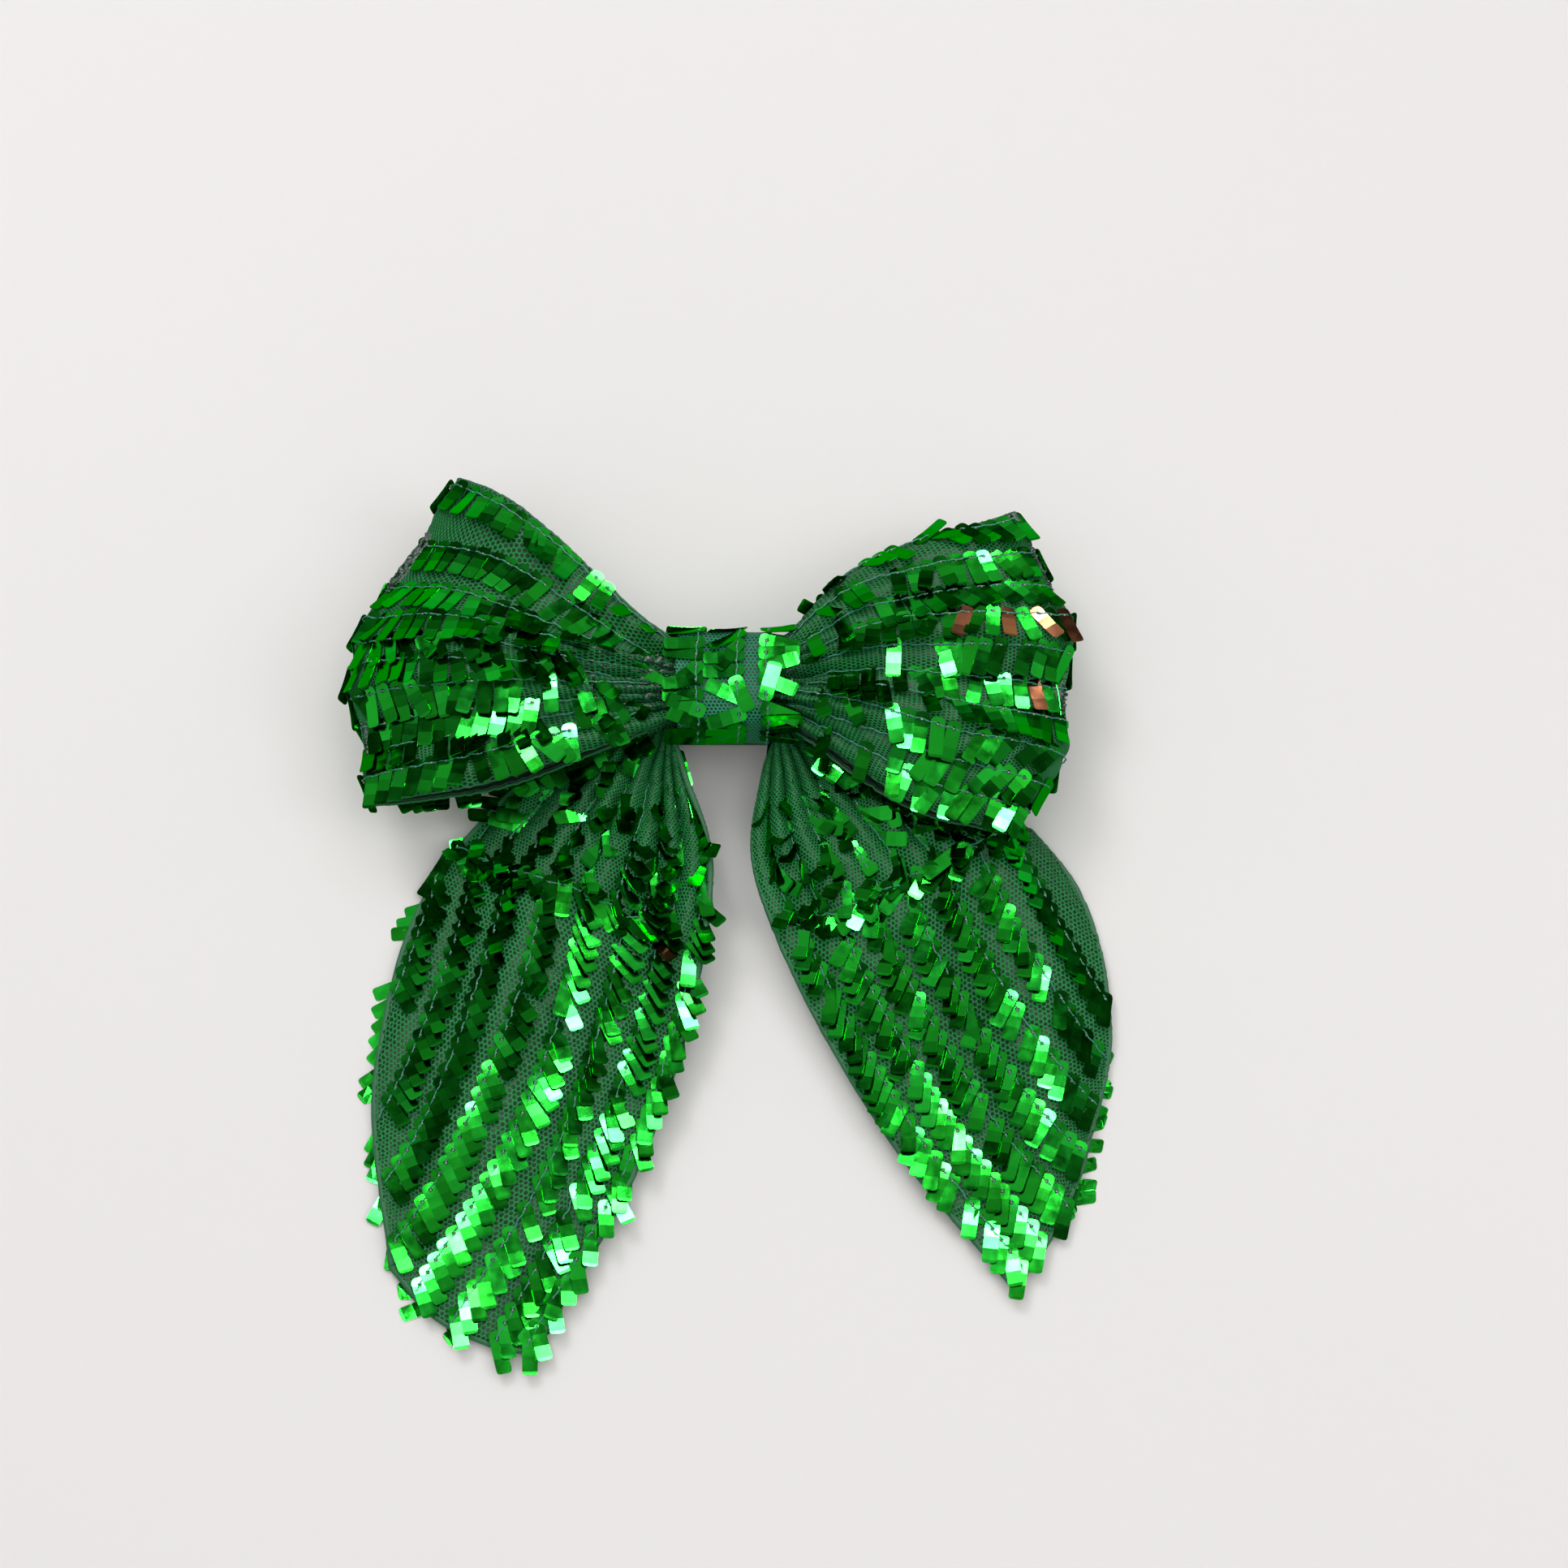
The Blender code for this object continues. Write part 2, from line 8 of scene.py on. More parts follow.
import bpy
import numpy as np
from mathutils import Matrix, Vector


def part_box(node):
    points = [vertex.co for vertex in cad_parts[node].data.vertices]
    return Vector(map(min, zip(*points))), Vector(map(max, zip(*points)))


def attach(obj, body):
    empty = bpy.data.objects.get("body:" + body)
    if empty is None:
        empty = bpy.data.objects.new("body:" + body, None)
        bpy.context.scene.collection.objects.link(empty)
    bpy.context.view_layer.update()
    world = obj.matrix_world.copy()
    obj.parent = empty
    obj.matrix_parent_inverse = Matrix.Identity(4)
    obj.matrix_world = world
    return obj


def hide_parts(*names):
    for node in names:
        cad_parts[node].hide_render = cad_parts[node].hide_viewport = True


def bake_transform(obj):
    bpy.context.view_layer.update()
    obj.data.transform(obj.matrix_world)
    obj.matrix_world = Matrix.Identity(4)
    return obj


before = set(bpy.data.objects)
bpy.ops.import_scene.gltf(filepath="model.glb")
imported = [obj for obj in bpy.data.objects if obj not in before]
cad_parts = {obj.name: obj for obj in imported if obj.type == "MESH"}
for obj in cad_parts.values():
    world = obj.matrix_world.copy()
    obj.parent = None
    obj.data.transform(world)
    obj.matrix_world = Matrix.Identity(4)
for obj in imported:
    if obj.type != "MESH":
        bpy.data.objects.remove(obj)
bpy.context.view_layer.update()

MM = 0.001
SEED = 7
FLOOR_RADIUS = 2.2

# The camera stands over the bow's foot and looks down at it.
CAMERA_ELEVATION = math.radians(65)
CAMERA_DISTANCE = 760.0
CAMERA_TARGET = (14.0, -22.0, 15.0)
LENS = 50.0
SENSOR = 24.0

# Lamps, in metres and watts: name, place, width, power, whether it lights surfaces, whether it is mirrored
LAMPS = (
    ("ceiling", (0.0, 0.0, 2.4), 4.5, 50.0, True, False),
    ("window", (-0.45, 0.62, 0.95), 0.42, 3.0, True, False),
    ("fill", (0.9, -0.3, 0.8), 0.5, 1.6, True, True),
    ("glint", (0.28, 0.5, 0.95), 0.2, 11.0, False, True),
    ("spark", (-0.1, 0.05, 0.95), 0.14, 7.0, False, True),
    ("strip", (0.5, 0.8, 0.7), 0.12, 4.0, False, True),
)
LAMP_TARGET = (0.0, -0.03, 0.0)

# Bar sequins
SEQUIN_WIDTH = 3.4
SEQUIN_LENGTH = 9.6
SEQUIN_THICKNESS = 0.14
HOLE_INSET = 1.75
HOLE_RADIUS = 0.5
HEAD_RADIUS = 1.15
TAIL_RADIUS = 0.7
CURL = 0.28
LOOP_PITCH = 3.65
TAIL_PITCH = 3.5
LOOP_ROWS = 10
LOOP_FIRST_ROW = 1.7
LOOP_ROW_SPACING = 9.0
LOOP_FLATTENING = 0.74
TAIL_ROW_SPACING = {"left": 9.3, "right": 9.0}
FIRST_TAIL_ROW = {"left": 2.6, "right": 6.4}

# How bars hang, in degrees and millimetres: dress() explains each word
TAIL_HANG = {"left": 20.0, "right": -14.0}
TAIL_BACK_LEAN = 39.0
TAIL_OVERLAP = 10.0
TAIL_WEAR = {
    "front": {"hidden": 0.3, "missing": 0.04, "scatter": 6.0, "lift": 0.42},
    "back": {"hidden": 0.7, "missing": 0.4, "scatter": 9.0, "lift": 0.3},
}
LOOP_BARE_REACH = {"left": 30.0, "right": 40.0}
STITCH_LIFT = 0.34
KNOT_LIFT = 0.22
LOWEST_STITCH = 0.4
LOWEST_KNOT = 0.5
COPPER_PATCH = (75.0, 14.0)
COPPER_PATCH_RADIUS = 9.0
COPPER_SPOT = (-16.4, -57.0)
BAND_CLEARANCE = (11.8, 13.2)
CLIP_CLEAR_Y = -24.0
BAND_COLUMNS = ((-6.0, -1), (3.4, -1))
BAND_EDGE_COLUMN = 0.85
BAND_FACE_Z = 17.0
BAND_PITCH = 3.4
BAND_SQUARENESS = 0.52
THREAD_SQUARENESS = 0.7

# Cloth cut sizes
LOOP_CLOTH_WIDTH = 91.0
LOOP_CLOTH_LENGTH = 176.0
TAIL_CLOTH_WIDTH = 80.0
CLOTH_THICKNESS = 0.45
LINING_DEPTHS = (-0.65, -0.95)
BAND_THICKNESS = 0.7
TAIL_LAYER_GAP = 0.15
STITCH_RADIUS = 0.17
HEM_RADIUS = {"loop": 0.35, "tail": 0.75}
LOOP_HEM_INSET = 0.2

LOOP_OUTLINES = {
    "left": {
        "low": [(-3.4, -8.0), (-12.5, -8.6), (-33.0, -17.0), (-56.0, -25.0), (-81.0, -29.0)],
        "high": [(-3.4, 8.0), (-12.5, 10.6), (-30.0, 26.5), (-47.0, 44.0), (-63.0, 55.0)],
        "outer": [(-81.0, -29.0), (-84.5, -12.0), (-87.0, 6.0), (-83.0, 24.0), (-63.0, 55.0)],
    },
    "right": {
        "low": [(3.4, -8.0), (12.5, -8.8), (28.0, -20.0), (45.0, -31.0), (65.0, -36.0)],
        "high": [(3.4, 8.0), (12.5, 10.6), (26.0, 27.5), (45.0, 39.0), (69.5, 47.5)],
        "outer": [(65.0, -36.0), (77.0, -20.0), (81.0, 2.0), (79.0, 24.0), (69.5, 47.5)],
    },
}
TAIL_OUTLINES = {
    "left": {
        "low": [(-12.6, -9.0, 14.8), (-9.0, -20.0, 13.2), (-3.0, -42.0, 10.0), (-8.0, -78.0, 6.5),
                (-20.0, -114.0, 3.6), (-41.0, -153.0, 1.6)],
        "high": [(-12.6, 2.0, 14.8), (-30.0, -7.0, 12.6), (-52.0, -22.0, 9.6), (-71.0, -48.0, 6.4),
                 (-79.0, -92.0, 4.0), (-73.0, -134.0, 1.6)],
        "outer": [(-41.0, -153.0, 1.6), (-50.0, -151.5, 1.6), (-63.0, -145.0, 1.6), (-73.0, -134.0, 1.6)],
    },
    "right": {
        "low": [(12.6, -9.0, 14.8), (9.2, -20.0, 13.2), (7.5, -42.0, 10.0), (20.0, -74.0, 6.5),
                (40.0, -108.0, 3.6), (64.5, -138.0, 1.6)],
        "high": [(12.6, 2.0, 14.8), (33.0, -6.0, 12.6), (59.0, -18.0, 9.6), (82.0, -42.0, 6.4),
                 (88.5, -78.0, 4.0), (81.0, -111.0, 1.6)],
        "outer": [(64.5, -138.0, 1.6), (69.0, -133.0, 1.6), (75.0, -124.0, 1.6), (81.0, -111.0, 1.6)],
    },
}
LOOP_PROFILE = [(0.0, 25.0), (0.16, 26.6), (0.38, 29.5), (0.62, 30.0), (0.84, 26.6), (0.965, 21.4),
                (1.0, 18.6), (0.97, 16.4), (0.86, 15.6), (0.62, 16.0), (0.38, 17.6), (0.16, 19.4),
                (0.0, 20.0)]
LOOP_EDGE_HEIGHT = 0.34
LOOP_TOP_LIFT = 1.5
LOOP_MIDDLE = (21.5, 18.4)
LOOP_RIDGE_LIMIT = {"front": 3.2, "back": 2.2}
TAIL_CROWN = 1.6
TAIL_RIDGE_LIMIT = 2.4
TAIL_STUB = 9.0
TAIL_STUB_SHARE = 0.035
TAIL_FOLD = {"left": 0.62, "right": 0.80}
TAIL_FOLD_START = 0.26
LOWEST_CLOTH = 1.15
SETTLING_FRAMES = 10
SETTLING_CAP = 2.2
SETTLING_PIN = 0.25
SETTLING_CLOTH = {
    "quality": 6, "mass": 0.2, "tension_stiffness": 12, "compression_stiffness": 12, "shear_stiffness": 4,
    "bending_stiffness": 0.4, "vertex_group_mass": "pin", "shrink_min": -0.025,
}


# ---------------------------------------------------------------- surfaces

def along_curve(points, position):
    """Reads a smooth curve through the points at an array of positions from 0 to 1."""
    points = np.asarray(points, float)
    last = len(points) - 1
    padded = np.vstack([2 * points[0] - points[1], points, 2 * points[-1] - points[-2]])
    scaled = np.clip(position, 0, 1) * last
    i = np.minimum(scaled.astype(int), last - 1)
    f = (scaled - i)[..., None]
    p0, p1, p2, p3 = (padded[i + k] for k in range(4))
    return 0.5 * (2 * p1 + (p2 - p0) * f + (2 * p0 - 5 * p1 + 4 * p2 - p3) * f ** 2
                  + (3 * p1 - p0 - 3 * p2 + p3) * f ** 3)


def patch(outline, s, t):
    """Reads the Coons patch between an outline's low, high and outer curves and the knot's straight edge."""
    low, high, outer = (np.asarray(outline[k], float) for k in ("low", "high", "outer"))
    s1, t1 = s[..., None], t[..., None]
    end = (1 - t1) * outer[0] + t1 * outer[-1]
    across = (1 - t1) * along_curve(low, s) + t1 * along_curve(high, s)
    return across + s1 * (along_curve(outer, t) - end)


def width_at(outline, s):
    """Measures how wide a patch is, straight across, at each station."""
    gap = along_curve(outline["high"], s)[..., :2] - along_curve(outline["low"], s)[..., :2]
    return np.linalg.norm(gap, axis=-1)


def grid_normals(points):
    """Works out the unit normals of a grid of points."""
    normals = np.cross(np.gradient(points, axis=0), np.gradient(points, axis=1))
    return normals / np.maximum(np.linalg.norm(normals, axis=-1, keepdims=True), 1e-9)


def blur(values, radius):
    """Smooths a grid with a box of the given radius in cells, along both sides."""
    for axis, r in ((0, radius[0]), (1, radius[1])):
        pad = [(0, 0)] * values.ndim
        pad[axis] = (r + 1, r)
        summed = np.cumsum(np.pad(values, pad, mode="edge"), axis=axis)
        size = 2 * r + 1
        upper = np.take(summed, range(size, summed.shape[axis]), axis=axis)
        lower = np.take(summed, range(0, summed.shape[axis] - size), axis=axis)
        values = (upper - lower) / size
    return values


def puckers(u, v, seed, amount):
    """Makes small irregular waves in cloth coordinates, in millimetres."""
    random = np.random.default_rng(seed)
    height = np.zeros(np.broadcast(u, v).shape)
    for wavelength in (34.0, 23.0, 15.0, 11.0, 8.0):
        for _ in range(2):
            heading, phase = random.uniform(0, 2 * np.pi, 2)
            along = u * np.cos(heading) + v * np.sin(heading)
            height += np.sin(2 * np.pi * along / wavelength + phase) * (wavelength / 34.0) ** 0.8
    return height * amount / 3.0


def pillows(phase, s, t, seed):
    """Makes round, slightly uneven pillows of cloth: -1 in a stitched row and 1 between rows."""
    a, b = np.random.default_rng(seed).uniform(0, 2 * np.pi, 2)
    ridge = 2 * np.sqrt(np.sin(phase) ** 2 + 0.012) - 1.1
    uneven = 0.16 * np.sin(2 * np.pi * 2.3 * t + 3.0 * s + a) + 0.10 * np.sin(7 * s + 9 * t + b)
    return ridge * (0.84 + uneven)


def gather_height(width, cloth_width, count, limit):
    """Gives the ridge height, from mid to top, that takes up the cloth between two edges width apart."""
    ratio = np.maximum(cloth_width / np.maximum(width, 1.0), 1.0)
    height = (width / count) / np.pi * np.sqrt(2 * (ratio ** 2 - 1)) / 2
    return np.minimum(height, limit)


class Cloth:
    """A grid of cloth points that can be read anywhere: a runs along the rows, t across them."""

    def __init__(self, points, flat_u, flat_v, smooth_radius=(2, 3)):
        self.points = points
        self.normals = grid_normals(points)
        self.smooth_normals = grid_normals(blur(points, smooth_radius))
        self.flat_u = flat_u
        self.flat_v = flat_v

    def read(self, values, a, t):
        """Reads a grid of values between its points."""
        rows, columns = values.shape[:2]
        x = np.clip(a, 0, 1) * (rows - 1)
        y = np.clip(t, 0, 1) * (columns - 1)
        i, j = np.minimum(x.astype(int), rows - 2), np.minimum(y.astype(int), columns - 2)
        fx, fy = (x - i), (y - j)
        if values.ndim == 3:
            fx, fy = fx[..., None], fy[..., None]
        return ((1 - fx) * (1 - fy) * values[i, j] + fx * (1 - fy) * values[i + 1, j]
                + (1 - fx) * fy * values[i, j + 1] + fx * fy * values[i + 1, j + 1])

    def frames(self, a, t):
        """Gives points, the directions along and across, and the smoothed normals."""
        step = 0.004
        point = self.read(self.points, a, t)
        along = self.read(self.points, a + step, t) - self.read(self.points, a - step, t)
        across = self.read(self.points, a, t + step) - self.read(self.points, a, t - step)
        normal = self.read(self.smooth_normals, a, t)
        return point, unit(along), unit(across), unit(normal)

    def rest(self, a, t, angle, normal, length=SEQUIN_LENGTH - HOLE_INSET, gap=-0.2):
        """Lays bars on the cloth: gives each one's level heading and the slope that clears what is below."""
        step = 0.02
        grid = self.points
        a, t = np.clip(a, 0, 1), np.clip(t, 0, 1)
        low_a, high_a = np.clip(a - step, 0, 1), np.clip(a + step, 0, 1)
        low_t, high_t = np.clip(t - step, 0, 1), np.clip(t + step, 0, 1)
        per_a = (self.read(grid, high_a, t) - self.read(grid, low_a, t)) / (high_a - low_a)[:, None]
        per_t = (self.read(grid, a, high_t) - self.read(grid, a, low_t)) / (high_t - low_t)[:, None]
        long_a, long_t = np.linalg.norm(per_a, axis=-1), np.linalg.norm(per_t, axis=-1)
        start = self.read(grid, a, t)
        slopes = []
        for part in (1.0, 0.35, 0.6, 0.8):
            to_a = a + part * length * np.cos(angle) / np.maximum(long_a, 1.0)
            to_t = t + part * length * np.sin(angle) / np.maximum(long_t, 1.0)
            on_a, on_t = np.clip(to_a, 0, 1), np.clip(to_t, 0, 1)
            ahead = (self.read(grid, on_a, on_t) - start
                     + per_a * (to_a - on_a)[:, None] + per_t * (to_t - on_t)[:, None])
            height = np.sum(ahead * normal, axis=-1)
            level = ahead - normal * height[:, None]
            if part == 1.0:
                heading = unit(level)
            out = np.maximum(np.linalg.norm(level, axis=-1), part * length * 0.5)
            slopes.append(np.arctan2(height + gap, out))
        return heading, np.clip(np.max(slopes, axis=0), -0.6, 0.65)


def unit(vectors):
    return vectors / np.maximum(np.linalg.norm(vectors, axis=-1, keepdims=True), 1e-9)


def settle(points, name, pinned):
    """Lets the gathered cloth relax for a moment as real cloth, and caps how far a point may move."""
    rows, columns = points.shape[:2]
    mesh = bpy.data.meshes.new(name)
    mesh.from_pydata((points.reshape(-1, 3) * MM).tolist(), [], grid_faces(rows, columns))
    obj = bpy.data.objects.new(name, mesh)
    bpy.context.scene.collection.objects.link(obj)
    group = obj.vertex_groups.new(name="pin")
    for weight in np.unique(pinned):
        where = np.nonzero(pinned.reshape(-1) == weight)[0].tolist()
        group.add(where, float(weight), "REPLACE")
    cloth = obj.modifiers.new("cloth", "CLOTH")
    for key, value in SETTLING_CLOTH.items():
        setattr(cloth.settings, key, value)
    cloth.settings.effector_weights.gravity = 0.02
    cloth.collision_settings.use_collision = False
    scene = bpy.context.scene
    for number in range(1, SETTLING_FRAMES + 1):
        scene.frame_set(number)
    evaluated = obj.evaluated_get(bpy.context.evaluated_depsgraph_get())
    moved = np.empty(rows * columns * 3, np.float32)
    evaluated.data.vertices.foreach_get("co", moved)
    moved = moved.reshape(rows, columns, 3).astype(float) / MM
    scene.frame_set(1)
    bpy.data.objects.remove(obj)
    bpy.data.meshes.remove(mesh)
    shift = moved - points
    shift[~np.isfinite(shift)] = 0.0
    length = np.linalg.norm(shift, axis=-1, keepdims=True)
    return points + shift * SETTLING_CAP * np.tanh(length / SETTLING_CAP) / np.maximum(length, 1e-6)


def grid_faces(rows, columns, first=0):
    """Lists the quads of a grid of points."""
    index = np.arange(rows * columns).reshape(rows, columns) + first
    quads = np.stack([index[:-1, :-1], index[1:, :-1], index[1:, 1:], index[:-1, 1:]], axis=-1)
    return quads.reshape(-1, 4).tolist()


def loop_cloth(side, seed):
    """Shapes one loop's strip: over the front, round the fold and along the back, gathered at the knot."""
    rows, columns = 220, 170
    a, t = np.meshgrid(np.linspace(0, 1, rows), np.linspace(0, 1, columns), indexing="ij")
    profile = along_curve(LOOP_PROFILE, a)
    out, height = np.clip(profile[..., 0], 0, 1), profile[..., 1]
    outline = LOOP_OUTLINES[side]
    xy = patch(outline, out, t)
    middle = LOOP_MIDDLE[0] + (LOOP_MIDDLE[1] - LOOP_MIDDLE[0]) * out
    crown = LOOP_EDGE_HEIGHT + (1 - LOOP_EDGE_HEIGHT) * np.sin(np.pi * t) ** 0.7
    z = middle + (height - middle) * crown + LOOP_TOP_LIFT * out * t * t
    points = np.dstack([xy, z])
    normals = grid_normals(points)
    outward = np.sign(normals[rows // 4, columns // 2, 2])
    normals = blur(normals * outward, (3, 3))
    width = width_at(outline, out)
    front = a < 0.5
    tall = gather_height(width, LOOP_CLOTH_WIDTH, LOOP_ROWS, np.where(front, *LOOP_RIDGE_LIMIT.values()))
    tall = tall * (1 - LOOP_FLATTENING * np.clip((out - 0.15) / 0.4, 0, 1)) + 0.15
    flat_u = a * LOOP_CLOTH_LENGTH
    flat_v = t * LOOP_CLOTH_WIDTH
    soft_end = np.clip(out / 0.25, 0, 1)
    phase = np.pi * (LOOP_CLOTH_WIDTH - flat_v - LOOP_FIRST_ROW) / LOOP_ROW_SPACING
    swell = 1.3 * np.sin(2 * np.pi * (1.9 * t + 0.2 * out) + seed)
    swell = swell + np.sin(2 * np.pi * (3.3 * t - 0.3 * out) + 2 * seed)
    swell = swell * soft_end * np.where(front, 1.0, 0.5)
    lift = tall * pillows(phase, out, t, seed) + swell + puckers(flat_u, flat_v, seed + 1, 0.6) * soft_end
    points = points + normals * lift[..., None]
    pinned = np.full(a.shape, SETTLING_PIN)
    pinned[out < 0.10] = 1.0
    points = settle(points, f"{side}_loop_settling", pinned)
    if outward < 0:
        return Cloth(points[:, ::-1], flat_u, flat_v[:, ::-1]), True
    return Cloth(points, flat_u, flat_v), False


def tail_cloth(side, seed):
    """Shapes one tail: gathered at the knot, widening, then lying almost flat to its slanted end."""
    rows, columns = 180, 130
    s, t = np.meshgrid(np.linspace(-TAIL_STUB_SHARE, 1, rows), np.linspace(0, 1, columns), indexing="ij")
    outline = TAIL_OUTLINES[side]
    points = patch(outline, np.clip(s, 0, 1), t)
    sign = -1.0 if side == "left" else 1.0
    points[..., 0] += np.where(s < 0, -sign * TAIL_STUB * (-s / TAIL_STUB_SHARE), 0.0)
    crown = np.clip(s, 0, 1)
    points[..., 2] += TAIL_CROWN * np.sin(np.pi * t) * np.sin(np.pi * np.minimum(crown * 1.1, 1.0))
    width = width_at(outline, np.clip(s, 0, 1))
    length = float(np.linalg.norm(np.diff(points[:, columns // 2], axis=0), axis=-1).sum())
    flat_u = s * length
    cut_width = np.where(s < 0.5, TAIL_CLOTH_WIDTH, np.minimum(width, TAIL_CLOTH_WIDTH))
    flat_v = t * cut_width
    loose = np.clip(s / 0.15, 0, 1)
    settled_end = np.clip((1.05 - s) / 0.5, 0.25, 1)
    wave = 1.2 * np.sin(2 * np.pi * (1.6 * t + 0.25 * s) + seed) * np.clip(1.1 - s, 0, 1) * loose
    along = np.sin(np.pi * np.clip((s - TAIL_FOLD_START) / (1 - TAIL_FOLD_START), 0, 1)) ** 0.8
    fold, spacing = TAIL_FOLD[side], TAIL_ROW_SPACING[side]
    outer = np.clip((t - fold) / (1 - fold), 0, 1)
    points[..., 2] *= 1 - 0.85 * outer ** 1.3 * along
    points[..., 2] += 2.6 * np.exp(-((t - fold + 0.08) / 0.22) ** 2) * along
    tall = gather_height(width, TAIL_CLOTH_WIDTH, TAIL_CLOTH_WIDTH / spacing, TAIL_RIDGE_LIMIT)
    tall = tall * np.clip((0.9 - s) / 0.5, 0, 1) ** 0.8 + 0.15 * loose
    phase = np.pi * (flat_v - FIRST_TAIL_ROW[side]) / spacing
    points[..., 2] += tall * pillows(phase, s, t, seed) + wave
    points[..., 2] += puckers(flat_u, flat_v, seed + 1, 0.5) * loose * settled_end
    points[..., 2] = np.maximum(points[..., 2], LOWEST_CLOTH)
    pinned = np.full(s.shape, SETTLING_PIN)
    pinned[s < 0.04] = 1.0
    points = settle(points, f"{side}_tail_settling", pinned)
    points[..., 2] = np.maximum(points[..., 2], LOWEST_CLOTH)
    return Cloth(points, flat_u, flat_v), cut_width


# ---------------------------------------------------------------- meshes

def make_mesh(name, points, faces, material, uv=None, tint=None, smooth=True):
    """Makes an object from points in millimetres."""
    mesh = bpy.data.meshes.new(name)
    mesh.from_pydata((np.asarray(points) * MM).tolist(), [], faces)
    if uv is not None:
        layer = mesh.uv_layers.new(name="UVMap")
        corner = np.empty(len(mesh.loops), np.int32)
        mesh.loops.foreach_get("vertex_index", corner)
        layer.data.foreach_set("uv", np.asarray(uv, np.float32)[corner].ravel())
    if tint is not None:
        attribute = mesh.attributes.new("tint", "FLOAT", "POINT")
        attribute.data.foreach_set("value", np.asarray(tint, np.float32))
    mesh.materials.append(material)
    if smooth:
        mesh.shade_smooth()
    obj = bpy.data.objects.new(name, mesh)
    bpy.context.scene.collection.objects.link(obj)
    return obj


def sheet_mesh(name, cloth, material, near=0.0, far=-CLOTH_THICKNESS):
    """Makes a closed sheet between two offsets of a cloth's surface, with flat cloth coordinates as UVs."""
    rows, columns = cloth.points.shape[:2]
    sides = [cloth.points + cloth.normals * d for d in (near, far)]
    points = np.concatenate([s.reshape(-1, 3) for s in sides])
    flat = np.dstack([cloth.flat_u, cloth.flat_v]).reshape(-1, 2)
    first = grid_faces(rows, columns)
    second = [f[::-1] for f in grid_faces(rows, columns, rows * columns)]
    index = np.arange(rows * columns).reshape(rows, columns)
    rim = np.concatenate([index[:-1, 0], index[-1, :-1], index[:0:-1, -1], index[0, :0:-1]])
    far_rim = rim + rows * columns
    following, far_following = np.roll(rim, -1), np.roll(far_rim, -1)
    edge = np.stack([rim, far_rim, far_following, following], axis=-1).tolist()
    return make_mesh(name, points, first + second + edge, material, np.vstack([flat, flat]))


def tube_mesh(name, paths, material, radius, sides=6, beads=0.0, bead_length=1.85):
    """Makes closed tubes along paths, beaded as a chain stitch is where beads is above 0."""
    points, faces, uvs = [], [], []
    count = 0
    for path in paths:
        path = np.asarray(path, float)
        if len(path) < 3:
            continue
        tangent = unit(np.gradient(path, axis=0))
        helper = np.where(np.abs(tangent[:, 2:3]) < 0.9, [[0.0, 0.0, 1.0]], [[1.0, 0.0, 0.0]])
        b = unit(np.cross(tangent, helper))
        c = np.cross(b, tangent)
        run = np.concatenate([[0], np.cumsum(np.linalg.norm(np.diff(path, axis=0), axis=1))])
        wide = radius * (1 + beads * np.abs(np.sin(np.pi * run / bead_length)) ** 0.7 - beads / 2)
        wide[0] *= 0.5
        wide[-1] *= 0.5
        angle = 2 * np.pi * np.arange(sides) / sides
        ring = (np.cos(angle)[None, :, None] * b[:, None] + np.sin(angle)[None, :, None] * c[:, None])
        points.append((path[:, None] + ring * wide[:, None, None]).reshape(-1, 3))
        uvs.append(np.stack(np.broadcast_arrays(run[:, None], angle[None] * radius), -1).reshape(-1, 2))
        index = np.arange(len(path) * sides).reshape(-1, sides) + count
        turned = np.roll(index, -1, axis=1)
        quads = np.stack([index[:-1], turned[:-1], turned[1:], index[1:]], -1).reshape(-1, 4)
        faces += quads.tolist() + [index[0, ::-1].tolist(), index[-1].tolist()]
        count += len(path) * sides
    return make_mesh(name, np.concatenate(points), faces, material, np.concatenate(uvs))


def arc(x, y, radius, first, steps):
    """Lists the points of a quarter circle, from the first angle in degrees."""
    angles = [math.radians(first + 90 * i / steps) for i in range(steps + 1)]
    return [(x + radius * math.cos(angle), y + radius * math.sin(angle)) for angle in angles]


